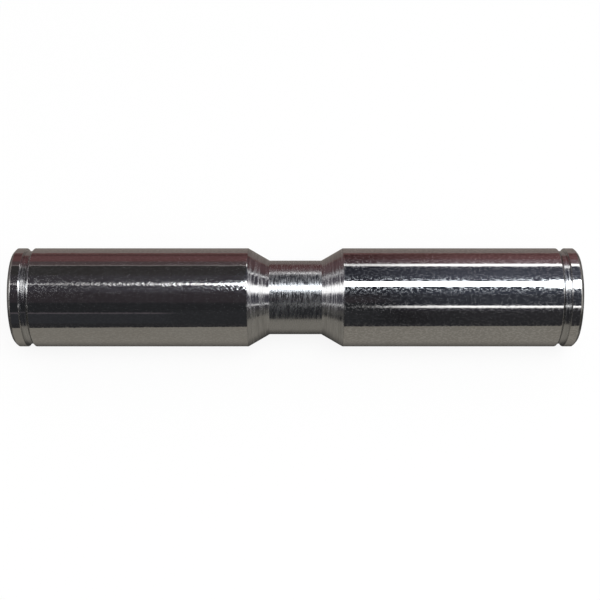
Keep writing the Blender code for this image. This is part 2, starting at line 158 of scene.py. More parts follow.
class Graph:
    """The node tree of one material or of the world."""

    shift_along: Place = (1.0, 1.7, -1.3)

    def __init__(self, tree: bpy.types.NodeTree) -> None:
        """Start from an empty tree."""
        self.tree = tree
        tree.nodes.clear()

    def node(
        self, kind: str, settings: Mapping[str, Any] | None = None, inputs: Mapping[str | int, Any] | None = None
    ) -> Outputs:
        """Add a node.

        Args:
            kind: The node's type.
            settings: Its own settings, which are set first. A ramp's stops are (place, colour) pairs.
            inputs: A value or a wire for each socket, by name or number.

        Returns:
            The node's outputs.
        """
        made = self.tree.nodes.new(kind)
        for name, value in (settings or {}).items():
            if name == "stops":
                self._set_stops(made.color_ramp, value)
            else:
                setattr(made, name, value)
        for key, value in (inputs or {}).items():
            if isinstance(value, Wire):
                self.tree.links.new(value.socket, made.inputs[key])
            else:
                made.inputs[key].default_value = value
        return Outputs(self, made)

    @staticmethod
    def _set_stops(ramp: bpy.types.ColorRamp, stops: Sequence[tuple[float, Colour]]) -> None:
        """Give a ramp its stops.

        Args:
            ramp: The ramp, of whose own stops one is kept and moved.
            stops: Each stop's place and colour, in order.
        """
        while len(ramp.elements) > 1:
            ramp.elements.remove(ramp.elements[-1])
        for index, (place, colour) in enumerate(stops):
            stop = ramp.elements[0] if index == 0 else ramp.elements.new(place)
            stop.position = place
            stop.color = colour

    def spot(self) -> Wire:
        """Return the point on the piece, in metres of its own frame."""
        return self.node("ShaderNodeTexCoord")["Object"]

    def point(self) -> Wire:
        """Return the point on the piece, in millimetres of its own frame."""
        inputs = {0: self.spot(), "Scale": 1.0 / MM}
        return self.node("ShaderNodeVectorMath", {"operation": "SCALE"}, inputs)["Vector"]

    def parts(self, vector: Wire) -> tuple[Wire, Wire, Wire]:
        """Return a vector's three parts."""
        split = self.node("ShaderNodeSeparateXYZ", inputs={0: vector})
        return split["X"], split["Y"], split["Z"]

    def joined(self, x: Wire | float, y: Wire | float, z: Wire | float) -> Wire:
        """Return a vector made of three parts."""
        return self.node("ShaderNodeCombineXYZ", inputs={0: x, 1: y, 2: z})["Vector"]

    def noise(
        self,
        vector: Wire,
        scale: float,
        detail: float = 2.0,
        stretch: Place = (1.0, 1.0, 1.0),
        shift: float = 0.0,
    ) -> Wire:
        """Return a cloudy value about 0.5.

        Args:
            vector: Where the noise is read.
            scale: Its coarsest lumps per unit of the vector.
            detail: How many finer octaves it has.
            stretch: Factors on the three axes, smaller where the lumps are longer.
            shift: A distance that sets one noise apart from another.

        Returns:
            The noise value.
        """
        apart = tuple(shift * part for part in self.shift_along)
        inputs = {0: vector, 1: stretch, 2: apart}
        placed = self.node("ShaderNodeVectorMath", {"operation": "MULTIPLY_ADD"}, inputs)["Vector"]
        return self.node("ShaderNodeTexNoise", inputs={"Vector": placed, "Scale": scale, "Detail": detail})[0]

    def blend(self, factor: Wire, low: Colour | Wire, high: Colour | Wire) -> Wire:
        """Return a colour between two, by a factor."""
        inputs = {MIX_FACTOR: factor, MIX_LOW: low, MIX_HIGH: high}
        return self.node("ShaderNodeMix", {"data_type": "RGBA"}, inputs)[MIX_RESULT]

    def relief(self, height: Wire, depth: float) -> Wire:
        """Return the normal of a surface whose height varies by a depth in metres."""
        return self.node("ShaderNodeBump", inputs={"Strength": 1.0, "Distance": depth, "Height": height})["Normal"]

    def seen(self) -> Wire:
        """Return 1 for what the eye sees, straight, in shine or through a clear piece, and 0 for other light."""
        path = self.node("ShaderNodeLightPath")
        return (path["Is Camera Ray"] + path["Is Glossy Ray"] + path["Is Transmission Ray"]).clamped()

    def glow(self, colour: Colour | Wire, strength: float = 1.0) -> Wire:
        """Return a shader that only gives light."""
        return self.node("ShaderNodeEmission", inputs={"Color": colour, "Strength": strength})["Emission"]

    def mixed(self, factor: Wire, low: Wire, high: Wire) -> Wire:
        """Return a shader between two, by a factor."""
        return self.node("ShaderNodeMixShader", inputs={0: factor, 1: low, 2: high})["Shader"]

    def end(self, shader: Wire) -> None:
        """End a material in a shader."""
        self.node("ShaderNodeOutputMaterial", inputs={"Surface": shader})

    def surface(self, **sockets: Any) -> None:
        """End a material in one Principled shader.

        Args:
            **sockets: Values or wires for the shader's sockets, with underscores for the spaces in their names.
        """
        inputs = {name.replace("_", " "): value for name, value in sockets.items()}
        self.end(self.node("ShaderNodeBsdfPrincipled", inputs=inputs)["BSDF"])


def grey(value: float, warmth: float = 0.0) -> Colour:
    """Return a grey that leans to warm or, below zero, to cold."""
    return (value * (1.0 + warmth), value, value * (1.0 - warmth), 1.0)


@dataclass(frozen=True)
class Finish:
    """A surface finish, which makes its material on first use."""

    name: str
    slot: str

    def material(self) -> bpy.types.Material:
        """Make the finish's material, or find it.

        Returns:
            The one material that all pieces with this finish share.
        """
        found = bpy.data.materials.get(self.name)
        if found is not None:
            return found
        made = bpy.data.materials.new(self.name)
        made.use_nodes = True
        self.write(Graph(made.node_tree))
        return made

    def write(self, graph: Graph) -> None:
        """Write the finish's nodes into an empty graph."""
        raise NotImplementedError


@dataclass(frozen=True)
class Flecks:
    """Small marks where a stretched noise stands high."""

    per_mm: float
    stretch: Place
    levels: Levels
    depth: float
    shift: float

    def cover(self, graph: Graph, point: Wire) -> Wire:
        """Return 1 on the marks and 0 off them, at a point given in millimetres."""
        return graph.noise(point, self.per_mm, stretch=self.stretch, shift=self.shift).rising(*self.levels)


@dataclass(frozen=True)
class CrossHatch:
    """Fine grinding lines on a shaft, in two families that cross each other, all round it or on one side.

    Lengths are in millimetres, and angles in radians from the top towards +Y. The lines are even over a share of the
    zone's width and length, and fade from there to its edges and its ends.
    """

    per_mm: float
    run: float
    depth: float
    shift: float
    middle: float = 0.0
    half_width: float = 2 * math.pi
    deepest: float = 0.0
    half_length: float = 1000.0
    shaft_radius: float = 8.0
    even_width: float = 0.6
    even_length: float = 0.3
    fading: float = 0.55
    family_gap: float = 5.0

    def cover(self, graph: Graph, point: Wire) -> Wire:
        """Work out the height across the lines.

        Args:
            graph: The material's graph.
            point: The point on the piece, in millimetres.

        Returns:
            A height that varies about 0.
        """
        x, y, z = graph.parts(point)
        turn = y.angle_from(z)
        arc = turn * self.shaft_radius
        families = []
        for lean in (1.0, -1.0):
            place = graph.joined(x + arc * lean, (x - arc * lean) * self.run, self.family_gap * lean)
            families.append(graph.noise(place, self.per_mm, detail=1.0, shift=self.shift))
        zone = 1.0 - abs(turn - self.middle).rising(self.even_width * self.half_width, self.half_width)
        faded = abs(x - self.deepest).rising(self.even_length * self.half_length, self.half_length)
        return (families[0] + families[1] - 1.0) * zone * (1.0 - faded * self.fading)


@dataclass(frozen=True)
class Scratches:
    """Hairline scratches in patches, which follow the contour lines of a stretched noise."""

    per_mm: float
    stretch: Place
    width: float
    patch: float
    depth: float
    shift: float
    patch_scale: float = 0.8
    patch_shift: float = 9.0
    patch_edge: float = 0.06

    def cover(self, graph: Graph, point: Wire) -> Wire:
        """Work out where the scratches are.

        Args:
            graph: The material's graph.
            point: The point on the piece, in millimetres.

        Returns:
            1 along the scratches and 0 off them.
        """
        contour = graph.noise(point, self.per_mm, detail=1.5, stretch=self.stretch, shift=self.shift)
        line = (1.0 - abs(contour - NOISE_MIDDLE) / self.width).clamped()
        patch = graph.noise(point, self.patch_scale * self.per_mm, detail=1.0, shift=self.shift + self.patch_shift)
        return line * line * patch.rising(self.patch, self.patch + self.patch_edge)


@dataclass(frozen=True)
class PolishedSteel(Finish):
    """Ground steel, buffed bright, with flecks, dents, hairlines, smudges and what is left of the grinding."""

    lay: CrossHatch = CrossHatch(per_mm=2.2, run=0.1, depth=0.8, shift=23.0)
    haze_index: float = 3.6
    colour: Colour = grey(0.62, 0.01)
    smudged: Colour = grey(0.585, 0.02)
    roughness: float = 0.025
    haze_roughness: float = 0.23
    haze: Flecks = Flecks(4.0, (0.55, 1.0, 1.0), levels=(0.47, 0.60), depth=0.5, shift=3.1)
    dents: Flecks = Flecks(2.2, (0.4, 1.0, 1.0), levels=(0.60, 0.74), depth=0.8, shift=17.4)
    hairlines: Scratches = Scratches(0.5, (0.6, 1.0, 1.0), width=0.03, patch=0.5, depth=1.2, shift=41.9)
    smudges_per_mm: float = 0.16
    smudge_tint: Levels = (0.35, 0.7)
    smudge_dull: Levels = (0.4, 0.75)
    smudge_dulling: float = 0.03

    def write(self, graph: Graph) -> None:
        """Write the polished steel's nodes, whose heights are in micrometres.

        Args:
            graph: The material's empty graph.
        """
        point = graph.point()
        smudge = graph.noise(point, self.smudges_per_mm, detail=4.0)
        hazy = self.haze.cover(graph, point)
        marks = (self.lay, self.dents, self.hairlines)
        height = sum((mark.cover(graph, point) * mark.depth for mark in marks), hazy * self.haze.depth)
        graph.surface(
            Base_Color=graph.blend(smudge.rising(*self.smudge_tint), self.colour, self.smudged),
            Metallic=1.0,
            Roughness=self.roughness + smudge.rising(*self.smudge_dull) * self.smudge_dulling,
            Coat_Weight=hazy,
            Coat_Roughness=self.haze_roughness,
            Coat_IOR=self.haze_index,
            Normal=graph.relief(height, MICRON),
        )


@dataclass(frozen=True)
class TurnedMetal(Finish):
    """Metal straight from the lathe, with the rings that the tool left round it, in micrometres."""

    dark: Colour = grey(0.46)
    light: Colour = grey(0.64)
    roughness: float = 0.05
    ring_depth: float = 24.0
    rings_per_mm: float = 3.6
    ring_dulling: float = 0.22
    ring_breaks: float = 0.035
    fine_ratio: float = 3.1
    coarse_share: float = 0.6
    bright_levels: Levels = (0.4, 0.6)
    face_feed: float = 0.73
    wear_per_mm: float = 0.35
    wear_share: float = 0.2
    wear_levels: Levels = (0.45, 0.8)
    wear_dulling: float = 0.03

    def write(self, graph: Graph) -> None:
        """Write the turned metal's nodes, whose rings follow the length on a shaft and the radius on a face.

        Args:
            graph: The material's empty graph.
        """
        point = graph.point()
        x, y, z = graph.parts(point)
        feed = x + self.face_feed * (y * y + z * z) ** 0.5
        ring_place = graph.joined(feed, y * self.ring_breaks, z * self.ring_breaks)
        coarse = graph.noise(ring_place, self.rings_per_mm, detail=3.0)
        fine = graph.noise(ring_place, self.fine_ratio * self.rings_per_mm, detail=2.0, shift=7.0)
        wear = graph.noise(point, self.wear_per_mm, detail=4.0, shift=13.0)
        bright = (coarse * 0.5 + fine * 0.5).rising(*self.bright_levels)
        height = coarse * self.coarse_share + fine * (1.0 - self.coarse_share)
        worn = wear.rising(*self.wear_levels) * self.wear_dulling
        graph.surface(
            Base_Color=graph.blend(bright * (1.0 - self.wear_share) + wear * self.wear_share, self.dark, self.light),
            Metallic=1.0,
            Roughness=self.roughness + bright * self.ring_dulling + worn,
            Normal=graph.relief(height * self.ring_depth, MICRON),
        )


@dataclass(frozen=True)
class DrawnWire(Finish):
    """Drawn spring wire with fine marks along its length."""

    colour: Colour = grey(0.55, 0.01)
    stained: Colour = grey(0.42, 0.05)
    stains_per_mm: float = 1.1
    stain_levels: Levels = (0.4, 0.7)
    roughness: float = 0.2
    marks_per_mm: float = 7.0
    mark_stretch: Place = (1.0, 0.4, 0.4)
    mark_dulling: float = 0.16
    mark_depth: float = 0.004 * MM

    def write(self, graph: Graph) -> None:
        """Write the wire's nodes.

        Args:
            graph: The material's empty graph.
        """
        point = graph.point()
        mark = graph.noise(point, self.marks_per_mm, detail=3.0, stretch=self.mark_stretch)
        stain = graph.noise(point, self.stains_per_mm, detail=3.0, shift=4.0)
        graph.surface(
            Base_Color=graph.blend(stain.rising(*self.stain_levels), self.colour, self.stained),
            Metallic=1.0,
            Roughness=self.roughness + mark * self.mark_dulling,
            Normal=graph.relief(mark, self.mark_depth),
        )


@dataclass(frozen=True)
class Moulded(Finish):
    """Moulded rubber, silicone or acetal: a soft mottle, a fine grain and a few dull patches."""

    dark: Colour = grey(0.014)
    light: Colour = grey(0.024)
    roughness: float = 0.5
    grain_depth: float = 0.006 * MM
    grains_per_mm: float = 5.0
    grain_dulling: float = 0.15
    mottles_per_mm: float = 0.5
    mottle_levels: Levels = (0.3, 0.7)
    mottle_dulling: float = 0.3
    glow: float = 0.0
    glow_tint: Place = (1.0, 1.0, 0.9)
    glow_depth: float = 0.4 * MM

    def write(self, graph: Graph) -> None:
        """Write the moulding's nodes.

        Args:
            graph: The material's empty graph.
        """
        point = graph.point()
        mottle = graph.noise(point, self.mottles_per_mm, detail=4.0)
        grain = graph.noise(point, self.grains_per_mm, detail=3.0, shift=6.0)
        dull = (mottle - NOISE_MIDDLE) * self.mottle_dulling
        graph.surface(
            Base_Color=graph.blend(mottle.rising(*self.mottle_levels), self.dark, self.light),
            Roughness=self.roughness + dull + (grain - NOISE_MIDDLE) * self.grain_dulling,
            Normal=graph.relief(grain, self.grain_depth),
            Subsurface_Weight=self.glow,
            Subsurface_Radius=self.glow_tint,
            Subsurface_Scale=self.glow_depth,
        )


@dataclass(frozen=True)
class SinteredCeramic(Finish):
    """Sintered white ceramic: packed grains with open pores between them, which are darkened with painted shade."""

    grain: Colour = (0.80, 0.775, 0.72, 1.0)
    stained: Colour = (0.74, 0.72, 0.65, 1.0)
    # Painted shade: the darker colour of the pores between the grains.
    pore_shade: Colour = (0.42, 0.39, 0.34, 1.0)
    roughness: float = 0.82
    grains_per_mm: float = 3.4
    pore_shade_levels: Levels = (0.42, 0.72)
    dust_per_mm: float = 9.0
    dust_levels: Levels = (0.4, 0.6)
    dust_dulling: float = 0.15
    dust_height: float = 0.4
    stains_per_mm: float = 0.4
    stain_levels: Levels = (0.35, 0.75)
    relief_depth: float = 0.05 * MM

    def write(self, graph: Graph) -> None:
        """Write the ceramic's nodes.

        Args:
            graph: The material's empty graph.
        """
        point = graph.point()
        cell = graph.node("ShaderNodeTexVoronoi", inputs={"Vector": point, "Scale": self.grains_per_mm})["Distance"]
        dust = graph.noise(point, self.dust_per_mm, detail=3.0)
        stain = graph.noise(point, self.stains_per_mm, detail=4.0, shift=11.0)
        # Painted shade: darken the pores where the relief sinks between the grains.
        pore_shade_mask = cell.rising(*self.pore_shade_levels) * dust.rising(*self.dust_levels)
        pale = graph.blend(stain.rising(*self.stain_levels), self.grain, self.stained)
        graph.surface(
            Base_Color=graph.blend(pore_shade_mask, pale, self.pore_shade),
            Roughness=self.roughness + dust * self.dust_dulling,
            Normal=graph.relief(dust * self.dust_height - cell, self.relief_depth),
        )


GROUND_LINES = CrossHatch(
    per_mm=2.3, run=0.14, depth=18.0, shift=23.0, middle=-0.235, half_width=0.36, deepest=-27.0, half_length=15.0
)
LIP_LINES = CrossHatch(per_mm=2.5, run=0.24, depth=5.0, shift=41.0, middle=-0.218, half_width=0.36)

POLISHED_STEEL = PolishedSteel("buffed_steel", "polished_steel")
GROUND_STEEL = PolishedSteel("ground_steel", "polished_steel", GROUND_LINES, haze_index=2.2)
LIP_STEEL = PolishedSteel("lip_steel", "polished_steel", LIP_LINES, haze_index=1.8)
TURNED_STEEL = TurnedMetal("lathe_turned_steel", "turned_steel")
NECK_STEEL = TurnedMetal(
    "neck_turned_steel",
    "turned_steel",
    dark=grey(0.5),
    light=grey(0.62),
    roughness=0.12,
    ring_depth=20.0,
    rings_per_mm=5.0,
    ring_dulling=0.2,
    ring_breaks=0.1,
)
TURNED_BRASS = TurnedMetal(
    "lathe_turned_brass",
    "turned_brass",
    dark=(0.58, 0.38, 0.14, 1.0),
    light=(0.80, 0.60, 0.28, 1.0),
    roughness=0.16,
    ring_depth=12.0,
    rings_per_mm=3.0,
)
SPRING_STEEL = DrawnWire("drawn_spring_wire", "spring_steel")
SEAL_RUBBER = Moulded("nitrile_rubber", "seal_rubber")
BLACK_ACETAL = Moulded(
    "moulded_acetal",
    "black_acetal",
    dark=grey(0.045),
    light=grey(0.065),
    roughness=0.42,
    grain_depth=0.004 * MM,
    grains_per_mm=4.0,
)
SILICONE = Moulded(
    "clear_silicone",
    "silicone",
    dark=grey(0.66, 0.01),
    light=grey(0.76, 0.02),
    roughness=0.45,
    grain_depth=0.004 * MM,
    grains_per_mm=3.0,
    glow=0.3,
)
CERAMIC = SinteredCeramic("sintered_ceramic", "porous_ceramic")


@dataclass(frozen=True)
class Span:
    """Where a solid of the frame lies along the axis, with its largest and smallest radius."""

    low: float
    high: float
    outer: float
    inner: float

    @classmethod
    def of(cls, node: str) -> "Span":
        """Measure a solid of the frame.

        Args:
            node: The solid's name.

        Returns:
            Its span.
        """
        points = [vertex.co for vertex in frame["nodes"][node].data.vertices]
        places = [point.x for point in points]
        radii = [math.hypot(point.y, point.z) for point in points]
        return cls(min(places), max(places), max(radii), min(radii))


class Side(Enum):
    """Where a piece's places along the axis are measured from: an end face, inwards, or the middle."""

    INLET = -1
    MIDDLE = 0
    OUTLET = 1

    @property
    def face(self) -> float:
        """The X that places are measured from."""
        if self is Side.MIDDLE:
            return 0.0
        return Span.of("inlet_cap").low if self is Side.INLET else Span.of("outlet_cap").high

    @property
    def inward(self) -> float:
        """The direction of X in which places grow."""
        return -1.0 if self is Side.OUTLET else 1.0

    def x(self, place: float) -> float:
        """Return the X of a place."""
        return self.face + self.inward * place

    def place(self, x: float) -> float:
        """Return the place of an X."""
        return self.inward * (x - self.face)


@dataclass
class Outline:
    """A turned outline of corners, each a place along the axis, a radius and a rounding."""

    corners: list[Place] = field(default_factory=list)
    round_steps: int = 4
    round_share: float = 0.45
    stay: float = 0.08 * MM
    stayed_from: float = 4.0

    def to(self, place: float, radius: float, rounding: float = 0.0) -> "Outline":
        """Draw on to the next corner and return the outline."""
        self.corners.append((place, radius, rounding))
        return self

    @property
    def open_ended(self) -> bool:
        """Whether the outline starts on the axis and so needs no closing line."""
        return self.corners[0][1] < ON_AXIS

    def points(self) -> list[Vector]:
        """Work out the outline's points.

        Returns:
            The points in order, with the corners rounded.
        """
        flat = [Vector((place, radius)) for place, radius, _ in self.corners]
        found: list[Vector] = []
        for index, (_, radius, rounding) in enumerate(self.corners):
            if rounding <= 0 or radius < ON_AXIS:
                found.append(flat[index])
                continue
            found += self._arc(flat[index - 1], flat[index], flat[(index + 1) % len(flat)], rounding)
        return self._stayed(found)

    def _stayed(self, points: Sequence[Vector]) -> list[Vector]:
        """Stay each long line with one more point close to both of its ends, which keeps its shading straight.

        Args:
            points: The outline's points.

        Returns:
            The points with the new ones among them.
        """
        found: list[Vector] = []
        followers = list(points[1:]) if self.open_ended else [*points[1:], points[0]]
        for point, following in zip(points, followers):
            found.append(point)
            along = following - point
            if along.length > self.stayed_from * self.stay:
                found += [point + along.normalized() * self.stay, following - along.normalized() * self.stay]
        return found + [points[-1]] if self.open_ended else found

    def _arc(self, before: Vector, corner: Vector, after: Vector, rounding: float) -> list[Vector]:
        """Round a corner.

        Args:
            before: The corner before.
            corner: The corner that is rounded.
            after: The corner after.
            rounding: The radius asked for, which short sides make smaller.

        Returns:
            The arc's points in order.
        """
        back = before - corner
        ahead = after - corner
        half = back.angle(ahead) / 2
        reach = min(rounding / math.tan(half), self.round_share * back.length, self.round_share * ahead.length)
        start = corner + back.normalized() * reach
        end = corner + ahead.normalized() * reach
        centre = corner + (back.normalized() + ahead.normalized()).normalized() * (reach / math.cos(half))
        size = (start - centre).length
        steps = [step / self.round_steps for step in range(self.round_steps + 1)]
        return [centre + (start - centre).lerp(end - centre, step).normalized() * size for step in steps]


@dataclass(frozen=True)
class Thread:
    """A right-hand screw thread cut into a turned shaft."""

    radius: float
    start: float
    end: float
    pitch: float = 1.0 * MM
    depth: float = 0.36 * MM
    rows_per_turn: int = 14
    last_turn: float = 0.4
    crest: float = 0.86
    flank: float = 0.72

    def with_rows(self, points: Sequence[Vector]) -> list[Vector]:
        """Add close rows along the shaft that carries the thread.

        Args:
            points: An outline's points.

        Returns:
            The points with the rows among them.
        """
        found: list[Vector] = []
        for point, following in zip(points, [*points[1:], points[0]]):
            found.append(point)
            along = following - point
            on_shaft = abs(point.y - self.radius) < ON_AXIS and abs(following.y - self.radius) < ON_AXIS
            if on_shaft and abs(along.x) > self.pitch:
                count = math.ceil(abs(along.x) / self.pitch * self.rows_per_turn)
                found += [point + along * (row / count) for row in range(1, count)]
        return found

    def cut(self, place: float, radius: float, x: float, turn: float) -> float:
        """Work out how far the thread is cut in at a point of the shaft.

        Args:
            place: The point's place along the piece.
            radius: Its radius before the thread is cut.
            x: Its place in the frame.
            turn: Its angle round the axis, from the top towards +Y, as a share of a turn.

        Returns:
            The depth of the cut there.
        """
        if abs(radius - self.radius) > ON_AXIS or not self.start < place < self.end:
            return 0.0
        run_out = min(1.0, (place - self.start) / self.pitch, (self.end - place) / (self.last_turn * self.pitch))
        phase = (x / self.pitch + turn) % 1.0
        slope = abs(2.0 * phase - 1.0)
        return self.depth * run_out * min(max((self.crest - slope) / self.flank, 0.0), 1.0)


@dataclass
class Turning:
    """A piece turned about the axis from an outline."""

    name: str
    side: Side
    outline: Outline
    segments: int
    thread: Thread | None = None

    def build(self) -> bpy.types.Object:
        """Turn the piece.

        Returns:
            The turned piece.
        """
        points = self.outline.points()
        if self.thread is not None:
            points = self.thread.with_rows(points)
        vertices: list[Place] = []
        rings: list[list[int]] = []
        for point in points:
            ring = self._ring(point)
            rings.append(list(range(len(vertices), len(vertices) + len(ring))))
            vertices += ring
        pairs = list(zip(rings, rings[1:]))
        if not self.outline.open_ended:
            pairs.append((rings[-1], rings[0]))
        faces = [face for first, second in pairs for face in self._band(first, second)]
        mesh = bpy.data.meshes.new(self.name)
        mesh.from_pydata(vertices, [], faces)
        return add_piece(self.name, mesh)

    def _ring(self, point: Vector) -> list[Place]:
        """Sweep one point of the outline round the axis.

        Args:
            point: The point's place along the axis and its radius.

        Returns:
            The vertices of its ring, or one on the axis.
        """
        place, radius = point
        x = self.side.x(place)
        if radius < ON_AXIS:
            return [(x, 0.0, 0.0)]
        ring = []
        for step in range(self.segments):
            turn = step / self.segments
            reach = radius - (self.thread.cut(place, radius, x, turn) if self.thread else 0.0)
            angle = 2 * math.pi * turn
            ring.append((x, reach * math.sin(angle), reach * math.cos(angle)))
        return ring

    def _band(self, first: list[int], second: list[int]) -> list[Face]:
        """Join two neighbouring rings, either of which may be a point on the axis.

        Args:
            first: The numbers of the first ring's vertices.
            second: Those of the second ring.

        Returns:
            The faces between them.
        """
        faces: list[Face] = []
        for step in range(self.segments):
            following = (step + 1) % self.segments
            if len(first) == 1:
                faces.append((first[0], second[step], second[following]))
            elif len(second) == 1:
                faces.append((first[step], second[0], first[following]))
            else:
                faces.append((first[step], second[step], second[following], first[following]))
        return faces


def smooth(mesh: bpy.types.Mesh, sharp_angle: float) -> None:
    """Shade a mesh smooth, apart from the edges above an angle."""
    mesh.shade_smooth()
    mesh.set_sharp_from_angle(angle=sharp_angle)


def add_piece(name: str, mesh: bpy.types.Mesh, sharp_angle: float = SHARP_ANGLE) -> bpy.types.Object:
    """Add a closed mesh to the scene.

    Args:
        name: The piece's name.
        mesh: Its mesh, in the frame's own places.
        sharp_angle: The angle above which an edge stays sharp.

    Returns:
        The piece, facing out and shaded smooth between its sharp edges.
    """
    shape = bmesh.new()
    shape.from_mesh(mesh)
    bmesh.ops.recalc_face_normals(shape, faces=shape.faces)
    shape.to_mesh(mesh)
    shape.free()
    smooth(mesh, sharp_angle)
    piece = bpy.data.objects.new(name, mesh)
    bpy.context.scene.collection.objects.link(piece)
    return piece


def cut_away(piece: bpy.types.Object, cutters: Sequence[bpy.types.Object]) -> None:
    """Take the cutters out of a piece and remove them.

    Args:
        piece: The piece that is cut.
        cutters: Closed meshes in the same frame.
    """
    for cutter in cutters:
        boolean = piece.modifiers.new(cutter.name, "BOOLEAN")
        boolean.operation = "DIFFERENCE"
        boolean.solver = "EXACT"
        boolean.object = cutter
    bpy.context.view_layer.update()
    cut = bpy.data.meshes.new_from_object(piece.evaluated_get(bpy.context.evaluated_depsgraph_get()))
    piece.modifiers.clear()
    piece.data = cut
    smooth(cut, SHARP_ANGLE)
    for cutter in cutters:
        bpy.data.objects.remove(cutter, do_unlink=True)


def add_cutter(name: str, shape: bmesh.types.BMesh) -> bpy.types.Object:
    """Add a cutter to the scene.

    Args:
        name: The cutter's name.
        shape: Its shape, which is freed.

    Returns:
        The cutter.
    """
    mesh = bpy.data.meshes.new(name)
    shape.to_mesh(mesh)
    shape.free()
    return add_piece(name, mesh, CUTTER_ANGLE)


@dataclass(frozen=True)
class Drill:
    """A drill for round holes, with the break of the hole's mouth and the length of the drill's point."""

    diameter: float
    depth: float
    countersink: float = 0.0
    point: float = 0.0
    point_share: float = 0.02
    segments: int = 40

    def cutter(self, name: str, place: Matrix) -> bpy.types.Object:
        """Make the cutter of one hole.

        Args:
            name: The cutter's name.
            place: Where the hole starts, with its own Z pointing into the piece.

        Returns:
            The cutter, which stands proud of the mouth by its own radius.
        """
        radius = self.diameter / 2
        mouth = radius + self.countersink
        corners = [(-radius, mouth)]
        if self.countersink > 0:
            corners += [(0.0, mouth), (self.countersink, radius)]
        corners.append((self.depth, radius))
        if self.point > 0:
            corners.append((self.depth + self.point, self.point_share * radius))
        shape = bmesh.new()
        rings = []
        for depth, reach in corners:
            angles = [2 * math.pi * step / self.segments for step in range(self.segments)]
            rings.append([shape.verts.new((reach * math.cos(a), reach * math.sin(a), depth)) for a in angles])
        for first, second in zip(rings, rings[1:]):
            for step in range(self.segments):
                following = (step + 1) % self.segments
                shape.faces.new((first[step], first[following], second[following], second[step]))
        shape.faces.new(rings[0][::-1])
        shape.faces.new(rings[-1])
        shape.transform(place)
        return add_cutter(name, shape)


def slot_cutter(name: str, low: Vector, high: Vector, turn: float) -> bpy.types.Object:
    """Make a box-shaped cutter.

    Args:
        name: The cutter's name.
        low: Its lowest corner, before it is turned.
        high: Its highest corner.
        turn: How far it is turned about the axis.

    Returns:
        The cutter.
    """
    shape = bmesh.new()
    size = high - low
    placed = Matrix.Rotation(turn, 4, "X") @ Matrix.Translation((low + high) / 2) @ Matrix.Diagonal((*size, 1.0))
    bmesh.ops.create_cube(shape, size=1.0, matrix=placed)
    return add_cutter(name, shape)


def ring_outline(span: Span, rounding: float) -> Outline:
    """Draw a flat ring that fills a solid's span.

    Args:
        span: The solid's span.
        rounding: The rounding of the ring's edges.

    Returns:
        The ring's outline.
    """
    outline = Outline().to(span.low, span.outer, rounding).to(span.high, span.outer, rounding)
    return outline.to(span.high, span.inner, rounding).to(span.low, span.inner, rounding)


def seal_outline(span: Span, points: int = 24) -> Outline:
    """Draw a moulded seal: an oval section that fills a solid's span.

    Args:
        span: The solid's span.
        points: How many points the oval has.

    Returns:
        The seal's outline.
    """
    middle = (span.low + span.high) / 2
    radius = (span.outer + span.inner) / 2
    outline = Outline()
    for index in range(points):
        angle = 2 * math.pi * index / points
        width = (span.high - span.low) / 2 * math.cos(angle)
        outline.to(middle - width, radius + (span.outer - span.inner) / 2 * math.sin(angle))
    return outline


@dataclass
class SubAssembly:
    """Pieces that are built together, dressed in their finishes and set on their bodies."""

    made: dict[str, bpy.types.Object] = field(default_factory=dict, init=False)
    suffix: str = field(default="_finished", init=False)
    ring_segments: int = field(default=96, init=False)

    def keep(self, node: str, piece: bpy.types.Object) -> bpy.types.Object:
        """Note the piece that stands for a solid, and return it."""
        self.made[node] = piece
        return piece

    def turn(
        self, node: str, side: Side, outline: Outline, segments: int, thread: Thread | None = None
    ) -> bpy.types.Object:
        """Turn the piece that stands for a solid, and return it."""
        return self.keep(node, Turning(node + self.suffix, side, outline, segments, thread).build())

    def turn_seal(self, node: str) -> None:
        """Turn the seal that stands for a solid."""
        self.turn(node, Side.MIDDLE, seal_outline(Span.of(node)), self.ring_segments)

    def turn_ring(self, node: str, rounding: float) -> None:
        """Turn the flat ring that stands for a solid."""
        self.turn(node, Side.MIDDLE, ring_outline(Span.of(node), rounding), self.ring_segments)

    def build(self) -> None:
        """Make the sub-assembly's meshes."""
        raise NotImplementedError

    def dress(self) -> None:
        """Give the meshes their finishes."""
        raise NotImplementedError

    def wear(
        self,
        node: str,
        finish: Finish,
        second: Finish | None = None,
        choose: Callable[[float, float], bool] | None = None,
    ) -> None:
        """Dress a piece in a finish.

        Args:
            node: The solid that the piece stands for.
            finish: The piece's finish, whose material it takes.
            second: A finish for some of its faces.
            choose: Whether a face, by the X and the radius of its middle, has the second finish.
        """
        piece = self.made[node]
        piece.data.materials.clear()
        piece.data.materials.append(finish.material())
        if second is not None and choose is not None:
            piece.data.materials.append(second.material())
            for face in piece.data.polygons:
                face.material_index = int(choose(face.center.x, math.hypot(face.center.y, face.center.z)))

    def install(self) -> None:
        """Set each piece on its solid's body in the solid's stead, and report it."""
        bodies = frame["record"]["behaviour"]["bodies"]
        carrier = {node: body for body, nodes in bodies.items() for node in nodes}
        for node, piece in self.made.items():
            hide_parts(node)
            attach(piece, carrier[node])
            LOG.info("%s rides on %s with %d faces", piece.name, carrier[node], len(piece.data.polygons))


